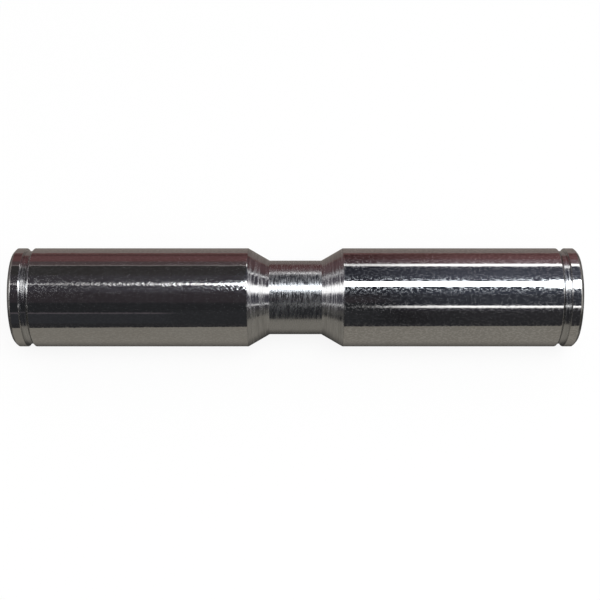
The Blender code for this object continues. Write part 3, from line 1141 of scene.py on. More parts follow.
@dataclass
class Spigot:
    """The screwed spigot that a cap or the coupling has in a barrel."""

    seal_setback: float = 0.9 * MM
    groove_width: float = 1.35 * MM
    lead_in: float = 0.3 * MM
    clearance: float = 0.06 * MM
    seal_room: float = 0.06 * MM
    thread_gap: float = 0.1 * MM
    edge: float = 0.03 * MM

    @property
    def radius(self) -> float:
        """The spigot's radius in the barrel's bore."""
        return Span.of("inlet_barrel").inner - self.clearance

    @property
    def groove_floor(self) -> float:
        """The radius of the seal groove's floor."""
        return Span.of("inlet_cap_o_ring").inner - self.seal_room

    def draw(self, outline: Outline, face: float, end: float, tip: float) -> Outline:
        """Draw the spigot's outside, from the shoulder to its chamfered end.

        Args:
            outline: The outline so far.
            face: The shoulder's place.
            end: The spigot's end.
            tip: The radius of what follows the end.

        Returns:
            The outline.
        """
        groove = face + self.seal_setback
        back = groove + self.groove_width
        outline.to(face, self.radius)
        outline.to(groove, self.radius, self.edge).to(groove, self.groove_floor, self.edge)
        outline.to(back, self.groove_floor, self.edge).to(back, self.radius, self.edge)
        outline.to(end - self.lead_in, self.radius, self.edge).to(end, self.radius - self.lead_in, self.edge)
        return outline.to(end, tip)

    def thread(self, face: float, end: float) -> Thread:
        """Return the thread between the seal's groove and the spigot's end."""
        start = face + self.seal_setback + self.groove_width + self.thread_gap
        return Thread(self.radius, start, end - self.lead_in / 2)


@dataclass
class Body(SubAssembly):
    """The two polished barrels and the turned coupling that joins them at the waist."""

    barrel_chamfer: float = 0.35 * MM
    lead_in: float = 0.3 * MM
    edge: float = 0.05 * MM
    crest_edge: float = 0.03 * MM
    neck_length: float = 8.4 * MM
    neck_fillet: float = 0.12 * MM
    gas_way_radius: float = 2.0 * MM
    neck_radius: float = 6.0 * MM
    segments: int = 192
    spigot: Spigot = field(default_factory=Spigot)

    def build(self) -> None:
        """Make the barrels, the coupling and its seals."""
        for node, side in (("inlet_barrel", Side.INLET), ("outlet_barrel", Side.OUTLET)):
            self.turn(node, side, self._barrel(node, side), self.segments)
        self._build_coupling()
        self.turn_seal("coupling_o_ring_inlet")
        self.turn_seal("coupling_o_ring_outlet")

    def _barrel(self, node: str, side: Side) -> Outline:
        """Draw a barrel, from the groove beside its cap to the waist.

        Args:
            node: The solid that the barrel stands for.
            side: The barrel's end of the diffuser.

        Returns:
            The barrel's outline.
        """
        span = Span.of(node)
        first, last = sorted(side.place(x) for x in (span.low, span.high))
        bore = span.inner
        outline = Outline().to(first, span.outer - self.barrel_chamfer, self.edge)
        outline.to(first + self.barrel_chamfer, span.outer, 2 * self.edge).to(last, span.outer, self.crest_edge)
        outline.to(last, bore + self.lead_in).to(last - self.lead_in, bore, self.edge)
        return outline.to(first + self.lead_in, bore, self.edge).to(first, bore + self.lead_in, self.edge)

    def _build_coupling(self) -> None:
        """Make the coupling: neck, cones, spigots and the gas way through them."""
        crest = Span.of("outlet_barrel").low
        end = Span.of("waist_coupling").high
        radius = Span.of("outlet_barrel").outer
        half = Outline().to(self.neck_length / 2, self.neck_radius, self.neck_fillet)
        half.to(crest, radius, self.crest_edge)
        self.spigot.draw(half, crest, end, self.gas_way_radius + self.lead_in)
        half.to(end - self.lead_in, self.gas_way_radius, self.edge)
        mirrored = [(-place, reach, rounding) for place, reach, rounding in reversed(half.corners)]
        self.turn("waist_coupling", Side.MIDDLE, Outline(mirrored + half.corners), self.segments)

    def dress(self) -> None:
        """Polish the outside of the barrels, and leave the rest as turned, with finer rings on the neck."""
        for node, polish in (("inlet_barrel", GROUND_STEEL), ("outlet_barrel", POLISHED_STEEL)):
            polished = Span.of(node).outer - POLISH_MARGIN
            self.wear(node, polish, TURNED_STEEL, lambda x, radius: radius < polished)
        neck_end = self.neck_length / 2
        inside = self.gas_way_radius + self.lead_in
        self.wear("waist_coupling", TURNED_STEEL, NECK_STEEL, lambda x, radius: abs(x) < neck_end and radius > inside)
        self.wear("coupling_o_ring_inlet", SEAL_RUBBER)
        self.wear("coupling_o_ring_outlet", SEAL_RUBBER)


@dataclass
class EndCap(SubAssembly):
    """An end cap: chamfered lip, ring groove, spigot with its seal, and two holes for a pin spanner."""

    lip_length: float = 1.9 * MM
    end_chamfer: Levels = (0.26 * MM, 0.22 * MM)
    rim_bevel: Levels = (0.27 * MM, 0.32 * MM)
    groove_width: float = 1.0 * MM
    groove_depth: float = 0.45 * MM
    edge: float = 0.05 * MM
    spanner_circle: float = 6.345 * MM
    spanner_drill: Drill = Drill(diameter=1.5 * MM, depth=1.2 * MM, countersink=0.12 * MM, point=0.4 * MM)
    segments: int = 192
    spigot: Spigot = field(default_factory=Spigot)

    @property
    def shoulder(self) -> float:
        """The place where the cap meets its barrel."""
        return self.lip_length + self.groove_width

    def outside(self, radius: float, end: float, tip: float) -> Outline:
        """Draw a cap's outside.

        Args:
            radius: The lip's radius.
            end: The spigot's end.
            tip: The radius of what follows the spigot.

        Returns:
            The outline, which its bore still has to close.
        """
        floor = radius - self.groove_depth
        bevel, bevel_rise = self.rim_bevel
        chamfer, chamfer_rise = self.end_chamfer
        outline = Outline().to(0.0, radius - chamfer_rise - bevel_rise, self.edge)
        outline.to(bevel, radius - chamfer_rise, self.edge).to(bevel + chamfer, radius, self.edge)
        outline.to(self.lip_length, radius, 2 * self.edge).to(self.lip_length, floor, self.edge)
        outline.to(self.shoulder, floor)
        return self.spigot.draw(outline, self.shoulder, end, tip)

    def drill_spanner_holes(self, node: str, side: Side) -> None:
        """Drill the two blind holes for a pin spanner in a cap's end face.

        Args:
            node: The solid that the cap stands for.
            side: The cap's end of the diffuser.
        """
        inward = Matrix.Rotation(math.copysign(math.pi / 2, side.inward), 4, "Y")
        cutters = []
        for index, y in enumerate((-self.spanner_circle, self.spanner_circle)):
            place = Matrix.Translation((side.face, y, 0.0)) @ inward
            cutters.append(self.spanner_drill.cutter(f"{node}_pin_hole_{index}", place))
        cut_away(self.made[node], cutters)

    def dress_cap(self, node: str, polish: Finish, seal: str) -> None:
        """Polish a cap's lip like its barrel, leave the rest as turned, and dress its seal.

        Args:
            node: The solid that the cap stands for.
            polish: The lip's finish.
            seal: The solid that the seal stands for.
        """
        polished = Span.of(node).outer - POLISH_MARGIN
        self.wear(node, TURNED_STEEL, polish, lambda x, radius: radius > polished)
        self.wear(seal, SEAL_RUBBER)


@dataclass
class InletCap(EndCap):
    """The inlet cap, bored for the tube port, with the check valve's seat on its nose."""

    spigot_end: float = 10.488 * MM
    nose_radius: float = 4.707 * MM
    seat_radius: float = 3.107 * MM
    seat_start: float = 12.181 * MM
    port_radius: float = 1.8 * MM
    tube_stop: float = 10.681 * MM
    socket_radius: float = 3.1 * MM
    chamber_end: float = 7.681 * MM
    chamber_radius: float = 4.2 * MM
    counterbore_depth: float = 3.4 * MM
    counterbore_radius: float = 5.05 * MM
    mouth_chamfer: float = 0.15 * MM
    spanner_circle: float = 6.325 * MM

    def build(self) -> None:
        """Make the cap and its seal."""
        span = Span.of("inlet_cap")
        nose_end = span.high - span.low
        outline = self.outside(span.outer, self.spigot_end, self.nose_radius)
        outline.to(nose_end, self.nose_radius, self.edge).to(nose_end, self.seat_radius, self.edge)
        outline.to(self.seat_start, self.port_radius, self.edge).to(self.tube_stop, self.port_radius, self.edge)
        outline.to(self.tube_stop, self.socket_radius).to(self.chamber_end, self.socket_radius, 2 * self.edge)
        outline.to(self.chamber_end, self.chamber_radius).to(self.counterbore_depth, self.chamber_radius, self.edge)
        outline.to(self.counterbore_depth, self.counterbore_radius)
        outline.to(self.mouth_chamfer, self.counterbore_radius, self.edge)
        outline.to(0.0, self.counterbore_radius + self.mouth_chamfer, self.edge)
        thread = self.spigot.thread(self.shoulder, self.spigot_end)
        self.turn("inlet_cap", Side.INLET, outline, self.segments, thread)
        self.drill_spanner_holes("inlet_cap", Side.INLET)
        self.turn_seal("inlet_cap_o_ring")

    def dress(self) -> None:
        """Dress the cap and its seal."""
        self.dress_cap("inlet_cap", LIP_STEEL, "inlet_cap_o_ring")


@dataclass
class TubePort(SubAssembly):
    """What holds and seals the gas tube: a sprung collet in a brass collar, a washer and a seal."""

    flange_thickness: float = 0.5 * MM
    flange_front_edge: float = 0.2 * MM
    flange_back_edge: float = 0.15 * MM
    sleeve_radius: float = 3.6 * MM
    barb_start: float = 2.904 * MM
    barb_top: float = 3.381 * MM
    barb_end: float = 4.581 * MM
    barb_radius: float = 4.0 * MM
    bore_flare: float = 0.18 * MM
    tooth_height: float = 0.04 * MM
    tooth_back: float = 0.25
    tooth_front: float = 0.05
    teeth: int = 4
    slot_start: float = 1.7 * MM
    slot_width: float = 0.6 * MM
    slots: int = 4
    throat_flare: float = 0.5 * MM
    flare_start: float = 2.804 * MM
    edge: float = 0.06 * MM
    segments: int = 128

    def build(self) -> None:
        """Make the port's pieces."""
        self._build_collet()
        self._build_collar()
        self.turn_ring("backup_washer", self.edge)
        self.turn_seal("tube_o_ring")

    def _build_collet(self) -> None:
        """Make the collet: a rounded flange to press, a sleeve split into fingers, and teeth that bite the tube."""
        span = Span.of("tube_collet")
        front = Side.INLET.place(span.low)
        end = Side.INLET.place(span.high)
        back = front + self.flange_thickness
        outline = Outline().to(front, span.outer, self.flange_front_edge).to(back, span.outer, self.flange_back_edge)
        outline.to(back, self.sleeve_radius, self.edge).to(self.barb_start, self.sleeve_radius)
        outline.to(self.barb_top, self.barb_radius, self.edge).to(self.barb_end, self.barb_radius, self.edge)
        outline.to(end, self.sleeve_radius, self.edge).to(end, span.inner, self.edge)
        pitch = (end - self.barb_start) / (self.teeth + 1)
        for tooth in range(self.teeth, 0, -1):
            place = self.barb_start + tooth * pitch
            outline.to(place + self.tooth_back * pitch, span.inner).to(place, span.inner - self.tooth_height)
            outline.to(place - self.tooth_front * pitch, span.inner)
        outline.to(front + self.bore_flare, span.inner, self.edge).to(front, span.inner + self.bore_flare, self.edge)
        collet = self.turn("tube_collet", Side.INLET, outline, self.segments)
        cutters = []
        low = Vector((Side.INLET.x(self.slot_start), -self.slot_width / 2, 0.0))
        high = Vector((span.high + CUTTER_EXCESS, self.slot_width / 2, 2 * self.barb_radius))
        for index in range(self.slots):
            turn = math.pi / self.slots + 2 * math.pi * index / self.slots
            cutters.append(slot_cutter(f"collet_slot_{index}", low, high, turn))
        cut_away(collet, cutters)

    def _build_collar(self) -> None:
        """Make the brass collar that the collet's barbs pull against."""
        span = Span.of("collet_ring")
        face = Side.INLET.place(span.low)
        back = Side.INLET.place(span.high)
        outline = Outline().to(face, span.outer, 1.5 * self.edge).to(back, span.outer, self.edge)
        outline.to(back, span.inner + self.throat_flare, self.edge).to(self.flare_start, span.inner, self.edge)
        outline.to(face, span.inner, 2 * self.edge)
        self.turn("collet_ring", Side.INLET, outline, self.segments)

    def dress(self) -> None:
        """Dress the port's pieces."""
        self.wear("tube_collet", BLACK_ACETAL)
        self.wear("collet_ring", TURNED_BRASS)
        self.wear("backup_washer", BLACK_ACETAL)
        self.wear("tube_o_ring", SEAL_RUBBER)


@dataclass
class CheckValve(SubAssembly):
    """The check valve behind the port: a windowed cage with a sprung poppet and its seal."""

    cage_socket: float = 4.757 * MM
    socket_end: float = 13.538 * MM
    cage_bore: float = 3.907 * MM
    cage_wall: float = 20.488 * MM
    guide_radius: float = 1.1 * MM
    lead_in: float = 0.3 * MM
    window_diameter: float = 2.6 * MM
    window_place: float = 18.588 * MM
    windows: int = 4
    nose_tip_radius: float = 1.35 * MM
    nose_land: float = 12.538 * MM
    groove_front: float = 12.688 * MM
    groove_radius: float = 1.6 * MM
    nose_radius: float = 1.8 * MM
    head_front: float = 13.688 * MM
    head_back: float = 14.888 * MM
    stem_radius: float = 1.0 * MM
    wire: float = 0.5 * MM
    wire_facets: int = 5
    wire_sharp_angle: float = math.radians(60.0)
    coil_diameter: float = 4.2 * MM
    open_turns: int = 4
    closed_turns: int = 1
    closed_pitch: float = 0.575 * MM
    points_per_turn: int = 48
    edge: float = 0.06 * MM
    lift: float = 1.5 * MM
    segments: int = 96

    def build(self) -> None:
        """Make the valve's pieces."""
        self._build_cage()
        self._build_poppet()
        self.turn_seal("poppet_o_ring")
        self._build_spring()

    def _build_cage(self) -> None:
        """Make the cage, with round windows for the gas and a guide for the poppet's stem."""
        span = Span.of("valve_cage")
        start = Side.INLET.place(span.low)
        end = Side.INLET.place(span.high)
        outline = Outline().to(start, span.outer, self.edge).to(end - self.lead_in, span.outer, self.edge)
        outline.to(end, span.outer - self.lead_in, self.edge).to(end, self.guide_radius, self.edge)
        outline.to(self.cage_wall, self.guide_radius).to(self.cage_wall, self.cage_bore, 2 * self.edge)
        outline.to(self.socket_end, self.cage_bore, self.edge).to(self.socket_end, self.cage_socket)
        outline.to(start, self.cage_socket, self.edge)
        cage = self.turn("valve_cage", Side.INLET, outline, self.segments)
        drill = Drill(self.window_diameter, 2 * self.cage_bore)
        cutters = []
        for index in range(self.windows):
            turn = Matrix.Rotation(2 * math.pi * index / self.windows, 4, "X")
            place = Matrix.Translation((Side.INLET.x(self.window_place), 0.0, 0.0)) @ turn
            mouth = place @ Matrix.Translation((0.0, 0.0, self.guide_radius + self.wire))
            cutters.append(drill.cutter(f"cage_window_{index}", mouth))
        cut_away(cage, cutters)

    def _build_poppet(self) -> None:
        """Make the brass poppet: nose, seal groove, head and stem."""
        span = Span.of("valve_poppet")
        tip = Side.INLET.place(span.low)
        end = Side.INLET.place(span.high)
        outline = Outline().to(tip, 0.0).to(tip, self.nose_tip_radius, self.edge)
        outline.to(self.nose_land, self.nose_radius, self.edge).to(self.groove_front, self.nose_radius, self.edge)
        outline.to(self.groove_front, self.groove_radius).to(self.head_front, self.groove_radius)
        outline.to(self.head_front, span.outer, self.edge).to(self.head_back, span.outer, self.edge)
        outline.to(self.head_back, self.stem_radius, 2 * self.edge)
        outline.to(end, self.stem_radius, 3 * self.edge).to(end, 0.0)
        self.turn("valve_poppet", Side.INLET, outline, self.segments)

    def _build_spring(self) -> None:
        """Make the spring as a wire coil with closed ends."""
        span = Span.of("valve_spring")
        turns = self.open_turns + 2 * self.closed_turns
        length = span.high - span.low
        open_pitch = (length - self.wire - 2 * self.closed_turns * self.closed_pitch) / self.open_turns
        curve = bpy.data.curves.new("valve_spring_line", "CURVE")
        curve.dimensions = "3D"
        curve.bevel_depth = self.wire / 2
        curve.bevel_resolution = self.wire_facets
        curve.use_fill_caps = True
        count = turns * self.points_per_turn + 1
        spline = curve.splines.new("POLY")
        spline.points.add(count - 1)
        for index, point in enumerate(spline.points):
            turn = index * turns / (count - 1)
            opened = min(max(turn - self.closed_turns, 0.0), self.open_turns)
            rise = opened * open_pitch + (turn - opened) * self.closed_pitch
            angle = 2 * math.pi * turn
            reach = self.coil_diameter / 2
            x = span.low + self.wire / 2 + rise
            point.co = (x, reach * math.sin(angle), -reach * math.cos(angle), 1.0)
        line = bpy.data.objects.new("valve_spring_line", curve)
        mesh = bpy.data.meshes.new_from_object(line)
        bpy.data.objects.remove(line)
        self.keep("valve_spring", add_piece("valve_spring" + self.suffix, mesh, self.wire_sharp_angle))

    def dress(self) -> None:
        """Dress the valve's pieces."""
        self.wear("valve_cage", BLACK_ACETAL)
        self.wear("valve_poppet", TURNED_BRASS)
        self.wear("poppet_o_ring", SEAL_RUBBER)
        self.wear("valve_spring", SPRING_STEEL)

    def install(self) -> None:
        """Set the pieces on their bodies, and give the spring a mesh of its own."""
        super().install()
        span = Span.of("valve_spring")
        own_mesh(self.made["valve_spring"])


@dataclass
class OutletCap(EndCap):
    """The outlet cap, with a countersunk mouth in front of the porous disc."""

    disc_bore: float = 5.18 * MM
    aperture_radius: float = 4.53 * MM
    rim_thickness: float = 1.2 * MM
    countersink: float = 0.5 * MM
    spanner_circle: float = 6.365 * MM

    def build(self) -> None:
        """Make the cap and its seal."""
        span = Span.of("outlet_cap")
        end = span.high - span.low
        mouth = self.aperture_radius + self.countersink
        outline = self.outside(span.outer, end, self.disc_bore)
        outline.to(self.rim_thickness, self.disc_bore).to(self.rim_thickness, self.aperture_radius, self.edge)
        outline.to(self.countersink, self.aperture_radius, self.edge).to(0.0, mouth, self.edge)
        thread = self.spigot.thread(self.shoulder, end)
        self.turn("outlet_cap", Side.OUTLET, outline, self.segments, thread)
        self.drill_spanner_holes("outlet_cap", Side.OUTLET)
        self.turn_seal("outlet_cap_o_ring")

    def dress(self) -> None:
        """Dress the cap and its seal."""
        self.dress_cap("outlet_cap", POLISHED_STEEL, "outlet_cap_o_ring")


@dataclass
class DiscStack(SubAssembly):
    """The porous disc between its gaskets, and the slotted ring that clamps them."""

    disc_chamfer: float = 0.2 * MM
    disc_segments: int = 160
    face_rings: int = 46
    grain_size: float = 0.22 * MM
    grain_relief: float = 0.035 * MM
    grain_middle: float = 0.5
    grain_share: float = 0.33
    fine_grain_scale: float = 2.3
    fine_grain_share: float = 0.5
    retainer_slot_width: float = 1.2 * MM
    retainer_slot_depth: float = 1.0 * MM
    retainer_segments: int = 128
    edge: float = 0.08 * MM

    def build(self) -> None:
        """Make the disc, the gaskets and the clamping ring."""
        self.turn_ring("disc_gasket_outer", self.edge)
        self.turn_ring("disc_gasket_inner", self.edge)
        self._build_disc()
        self._build_retainer()

    def _build_disc(self) -> None:
        """Make the disc, whose faces are roughened by the grains that it is sintered from."""
        span = Span.of("ceramic_disc")
        face_radius = span.outer - self.disc_chamfer
        radii = [face_radius * ring / self.face_rings for ring in range(1, self.face_rings + 1)]
        outline = Outline().to(span.low, 0.0)
        for radius in radii:
            outline.to(span.low, radius)
        outline.to(span.low + self.disc_chamfer, span.outer).to(span.high - self.disc_chamfer, span.outer)
        for radius in reversed(radii):
            outline.to(span.high, radius)
        outline.to(span.high, 0.0)
        disc = self.turn("ceramic_disc", Side.MIDDLE, outline, self.disc_segments)
        middle = (span.low + span.high) / 2
        for vertex in disc.data.vertices:
            coarse = noise.noise(vertex.co / self.grain_size)
            fine = noise.noise(vertex.co * self.fine_grain_scale / self.grain_size)
            grain = coarse + self.fine_grain_share * fine
            sunk = self.grain_relief * (self.grain_middle + self.grain_share * grain)
            vertex.co.x -= math.copysign(sunk, vertex.co.x - middle)

    def _build_retainer(self) -> None:
        """Make the clamping ring, with a slot across its back for a driver."""
        span = Span.of("disc_retainer")
        outline = ring_outline(span, self.edge)
        ring = self.turn("disc_retainer", Side.MIDDLE, outline, self.retainer_segments)
        half = self.retainer_slot_width / 2
        low = Vector((span.low - CUTTER_EXCESS, -half, -2 * span.outer))
        high = Vector((span.low + self.retainer_slot_depth, half, 2 * span.outer))
        cut_away(ring, [slot_cutter("retainer_slot", low, high, 0.0)])

    def dress(self) -> None:
        """Dress the stack's pieces."""
        self.wear("disc_gasket_outer", SILICONE)
        self.wear("disc_gasket_inner", SILICONE)
        self.wear("ceramic_disc", CERAMIC)
        self.wear("disc_retainer", TURNED_BRASS)


@dataclass(frozen=True)
class Tone:
    """A display colour in steps of 255, as a swatch gives it."""

    red: int
    green: int
    blue: int

    def light(self, gain: float) -> Colour:
        """Work out the light that shows as this colour, by the standard curve of displays.

        Args:
            gain: A factor on the light.

        Returns:
            The light's colour.
        """
        shown = [value / 255 for value in (self.red, self.green, self.blue)]
        linear = [value / 12.92 if value <= 0.04045 else ((value + 0.055) / 1.055) ** 2.4 for value in shown]
        return (*(value * gain for value in linear), 1.0)

    def on_steel(self, strength: float = 1.0) -> Colour:
        """Return the light that steel mirrors as this colour, for a card that glows with a strength."""
        return self.light(1.0 / (STEEL_SHARE * strength))


@dataclass(frozen=True)
class Band:
    """A band of the tent, between two angles in degrees from the front, up and over to the back."""

    start: float
    end: float
    tone: Tone
    gain: float = 1.0


@dataclass(frozen=True)
class Strip:
    """A length of the bright strip, with its reach along X, its angles in degrees and its strength."""

    reach: Levels
    angles: Levels
    strength: float


STEEL_SHARE = 0.60
PHOTO_SIZE = 600.0
QUAD: list[Face] = [(0, 1, 2, 3)]
WHITE = Tone(255, 255, 255)

LAMP_SIDE_BANDS = (
    Band(0.0, 30.0, Tone(38, 38, 40)),
    Band(31.0, 37.0, Tone(44, 43, 47)),
    Band(39.8, 42.5, WHITE, 1.8),
    Band(43.6, 68.0, Tone(43, 45, 51)),
    Band(72.0, 84.0, Tone(48, 51, 60)),
    Band(104.0, 112.0, Tone(62, 64, 74)),
    Band(116.0, 138.4, Tone(57, 59, 68)),
    Band(140.0, 144.8, WHITE, 2.4),
    Band(147.2, 158.0, Tone(101, 84, 88)),
    Band(163.0, 172.0, Tone(92, 66, 67)),
    Band(174.0, 180.0, Tone(86, 60, 60)),
)

FAR_SIDE_BANDS = (
    Band(0.0, 23.5, Tone(41, 42, 45)),
    Band(24.6, 26.2, Tone(72, 68, 72)),
    Band(27.4, 48.0, Tone(33, 34, 36)),
    Band(52.0, 72.0, Tone(43, 40, 43)),
    Band(76.0, 88.0, Tone(50, 48, 53)),
    Band(90.0, 98.5, Tone(60, 58, 63)),
    Band(99.5, 112.0, Tone(50, 48, 52)),
    Band(116.0, 139.8, Tone(44, 43, 43)),
    Band(140.8, 142.0, Tone(104, 98, 98)),
    Band(143.4, 152.0, Tone(68, 59, 60)),
    Band(156.0, 172.0, Tone(84, 59, 60)),
    Band(175.0, 180.0, Tone(70, 49, 49)),
)

RING_BANDS = (
    Band(0.0, 60.0, Tone(42, 41, 43)),
    Band(64.0, 72.0, Tone(84, 83, 92)),
    Band(81.0, 102.0, WHITE, 4.0),
    Band(108.0, 114.0, Tone(122, 119, 128)),
    Band(118.0, 138.0, Tone(94, 91, 99)),
    Band(140.0, 144.0, WHITE, 0.8),
    Band(146.0, 180.0, Tone(84, 66, 68)),
)

CONE_BANDS = (
    Band(0.0, 14.0, Tone(72, 71, 69)),
    Band(20.0, 33.5, Tone(58, 56, 59)),
    Band(35.0, 37.0, WHITE, 1.6),
    Band(38.5, 68.0, Tone(64, 63, 70)),
    Band(72.0, 75.0, Tone(110, 108, 114)),
    Band(81.5, 105.0, WHITE, 2.2),
    Band(107.0, 110.0, Tone(100, 98, 104)),
    Band(114.0, 138.0, Tone(70, 67, 74)),
    Band(140.0, 142.0, WHITE, 1.8),
    Band(144.0, 180.0, Tone(66, 60, 64)),
)

STRIPS = (
    Strip((-0.036, -0.022), (90.0, 95.5), 5.0),
    Strip((-0.022, 0.022), (79.5, 100.5), 4.0),
    Strip((0.022, 0.158), (87.5, 98.8), 8.0),
    Strip((0.158, 0.45), (83.5, 102.6), 8.0),
)


def ground() -> float:
    """Return the height of the floor under the barrels."""
    return -Span.of("inlet_barrel").outer


def stage_mesh(name: str, vertices: Sequence[Place], faces: Sequence[Face], mirrored: bool = True) -> Graph:
    """Add a mesh of the stage.

    Args:
        name: Its name.
        vertices: Its points.
        faces: Its faces.
        mirrored: Whether it is seen in shiny surfaces alone, where it throws no light or shadow.

    Returns:
        The empty graph of its material.
    """
    mesh = bpy.data.meshes.new(name)
    mesh.from_pydata(vertices, [], faces)
    material = bpy.data.materials.new(name)
    material.use_nodes = True
    mesh.materials.append(material)
    card = bpy.data.objects.new(name, mesh)
    bpy.context.scene.collection.objects.link(card)
    if mirrored:
        card.visible_camera = False
        card.visible_diffuse = False
        card.visible_transmission = False
        card.visible_volume_scatter = False
        card.visible_shadow = False
    return Graph(material.node_tree)


def arch(radius: float, angles: Levels, reach: Levels, steps: int) -> tuple[list[Place], list[Face]]:
    """Shape a part of a cylinder about the axis.

    Args:
        radius: Its radius.
        angles: Where it starts and ends, in degrees from the front, up and over to the back.
        reach: Where it starts and ends along X.
        steps: How many faces it has across.

    Returns:
        The points and the faces.
    """
    vertices: list[Place] = []
    for step in range(steps + 1):
        angle = math.radians(angles[0] + (angles[1] - angles[0]) * step / steps)
        y = -radius * math.cos(angle)
        z = radius * math.sin(angle)
        vertices += [(reach[0], y, z), (reach[1], y, z)]
    return vertices, [(2 * step, 2 * step + 1, 2 * step + 3, 2 * step + 2) for step in range(steps)]


def aim(name: str, data: bpy.types.ID, place: Sequence[float]) -> bpy.types.Object:
    """Add a lamp or a camera that looks at the middle of the diffuser.

    Args:
        name: Its name.
        data: The lamp or the camera.
        place: Where it is.

    Returns:
        The object.
    """
    aimed = bpy.data.objects.new(name, data)
    aimed.location = place
    aimed.rotation_euler = (-aimed.location).to_track_quat("-Z", "Y").to_euler()
    bpy.context.scene.collection.objects.link(aimed)
    return aimed


@dataclass
class Tent:
    """The banded tent over the diffuser, with the strip and the cord of light in it. Runs are along X, in metres."""

    radius: float = 0.6
    half_length: float = 1.2
    angles: Levels = (-1.0, 181.0)
    steps: int = 60
    strength: float = 3.0
    dim_start: Levels = (0.016, 0.03)
    dim_end: Levels = (0.03, 0.12)
    dimming: float = 0.6
    plain: Tone = Tone(37, 38, 40)
    plain_run: Levels = (-0.09, -0.07)
    plain_share: Levels = (0.16, 0.2)
    low_run: Levels = (0.02, 0.07)
    low_power: float = 3.0
    high_run: Levels = (-0.028, -0.01)
    high_share: Levels = (0.3, 0.45)
    ring_run: Levels = (0.2, 0.26)
    cone_run: Levels = (0.5, 0.62)
    cord_angle: float = 92.5
    cord_width: float = 1.3
    cord_growth: float = 0.8
    cord_growth_run: Levels = (-0.07, -0.036)
    cord_edge: float = 0.5
    cord_least: float = 0.25
    cord_run: Levels = (-0.17, -0.035)
    cord_power: float = 1.5
    cord_end: Levels = (-0.036, -0.03)
    cord_light: float = 0.75
    strip_share: float = 0.98
    strip_steps: int = 6
    strip_tint: float = -0.06

    def build(self) -> None:
        """Hang the tent, brighter towards the outlet and at both ends, and the strip in it."""
        reach = (-self.half_length, self.half_length)
        graph = stage_mesh("light_tent", *arch(self.radius, self.angles, reach, self.steps))
        x, y, z = graph.parts(graph.spot())
        share = z.angle_from(-y) / math.pi
        runs = [self._stops(bands) for bands in (LAMP_SIDE_BANDS, FAR_SIDE_BANDS, RING_BANDS, CONE_BANDS)]
        lit, far, ring, cone = [graph.node("ShaderNodeValToRGB", {"stops": run}, {0: share})["Color"] for run in runs]
        dimmed = x.rising(*self.dim_start) * (1.0 - x.rising(*self.dim_end)) * self.dimming
        lit = graph.blend(dimmed, lit, grey(0.0))
        bare = x.rising(*self.plain_run) * (1.0 - share.rising(*self.plain_share))
        far = graph.blend(bare, far, self.plain.on_steel(self.strength))
        low = x.rising(*self.low_run) ** self.low_power
        high = x.rising(*self.high_run)
        middle = graph.blend(low + (high - low) * share.rising(*self.high_share), far, lit)
        middle = graph.blend(self._cord(x, share), middle, grey(self.cord_light))
        colour = graph.blend(abs(x).rising(*self.ring_run), middle, ring)
        colour = graph.blend(abs(x).rising(*self.cone_run), colour, cone)
        graph.end(graph.glow(colour, self.strength))
        self._hang_strip()

    def _stops(self, bands: Sequence[Band]) -> list[tuple[float, Colour]]:
        """Work out the ramp stops of a run of bands.

        Args:
            bands: The bands in order.

        Returns:
            Each stop's place, as a share of half a turn, and its colour.
        """
        stops = []
        for band in bands:
            gain = band.gain / self.strength
            if band.tone is not WHITE:
                gain /= STEEL_SHARE
            colour = band.tone.light(gain)
            stops += [(band.start / HALF_TURN, colour), (band.end / HALF_TURN, colour)]
        return stops

    def _cord(self, x: Wire, share: Wire) -> Wire:
        """Work out how brightly the thin cord of light over the inlet's half shows at a point of the tent.

        Args:
            x: The point's place along the axis.
            share: Its angle, as a share of half a turn.

        Returns:
            The cord's brightness there, which grows towards the waist.
        """
        away = abs(share * HALF_TURN - self.cord_angle)
        width = self.cord_width + x.rising(*self.cord_growth_run) * self.cord_growth
        cover = 1.0 - away.rising(width - self.cord_edge, width + self.cord_edge)
        strength = self.cord_least + x.rising(*self.cord_run) ** self.cord_power * (1.0 - self.cord_least)
        return cover * strength * (1.0 - x.rising(*self.cord_end))

    def _hang_strip(self) -> None:
        """Hang the bright strip that shows as a white band along the outlet's half."""
        for index, strip in enumerate(STRIPS):
            shape = arch(self.strip_share * self.radius, strip.angles, strip.reach, self.strip_steps)
            graph = stage_mesh(f"strip_lamp_{index}", *shape)
            graph.end(graph.glow(grey(1.0, self.strip_tint), strip.strength))


@dataclass
class EndWalls:
    """The grey walls that close the tent's ends, each with a window, which the caps' faces and rims mirror."""

    foot: Tone = Tone(128, 125, 122)
    head: Tone = Tone(84, 82, 86)
    grade: Levels = (0.05, 0.5)
    window_foot: Levels = (0.16, 0.2)
    window_head: Levels = (0.36, 0.4)
    window_side: Levels = (0.1, 0.16)
    window_light: float = 1.6

    def build(self, tent: Tent) -> None:
        """Close a tent's two ends.

        Args:
            tent: The tent.
        """
        y = tent.radius
        for name, x in (("inlet_wall", -tent.half_length), ("outlet_wall", tent.half_length)):
            graph = stage_mesh(name, [(x, -y, ground()), (x, y, ground()), (x, y, y), (x, -y, y)], QUAD)
            _, across, height = graph.parts(graph.spot())
            grade = graph.blend(height.rising(*self.grade), self.foot.on_steel(), self.head.on_steel())
            window = height.rising(*self.window_foot) * (1.0 - height.rising(*self.window_head))
            window = window * (1.0 - abs(across).rising(*self.window_side))
            graph.end(graph.glow(graph.blend(window, grade, grey(self.window_light))))


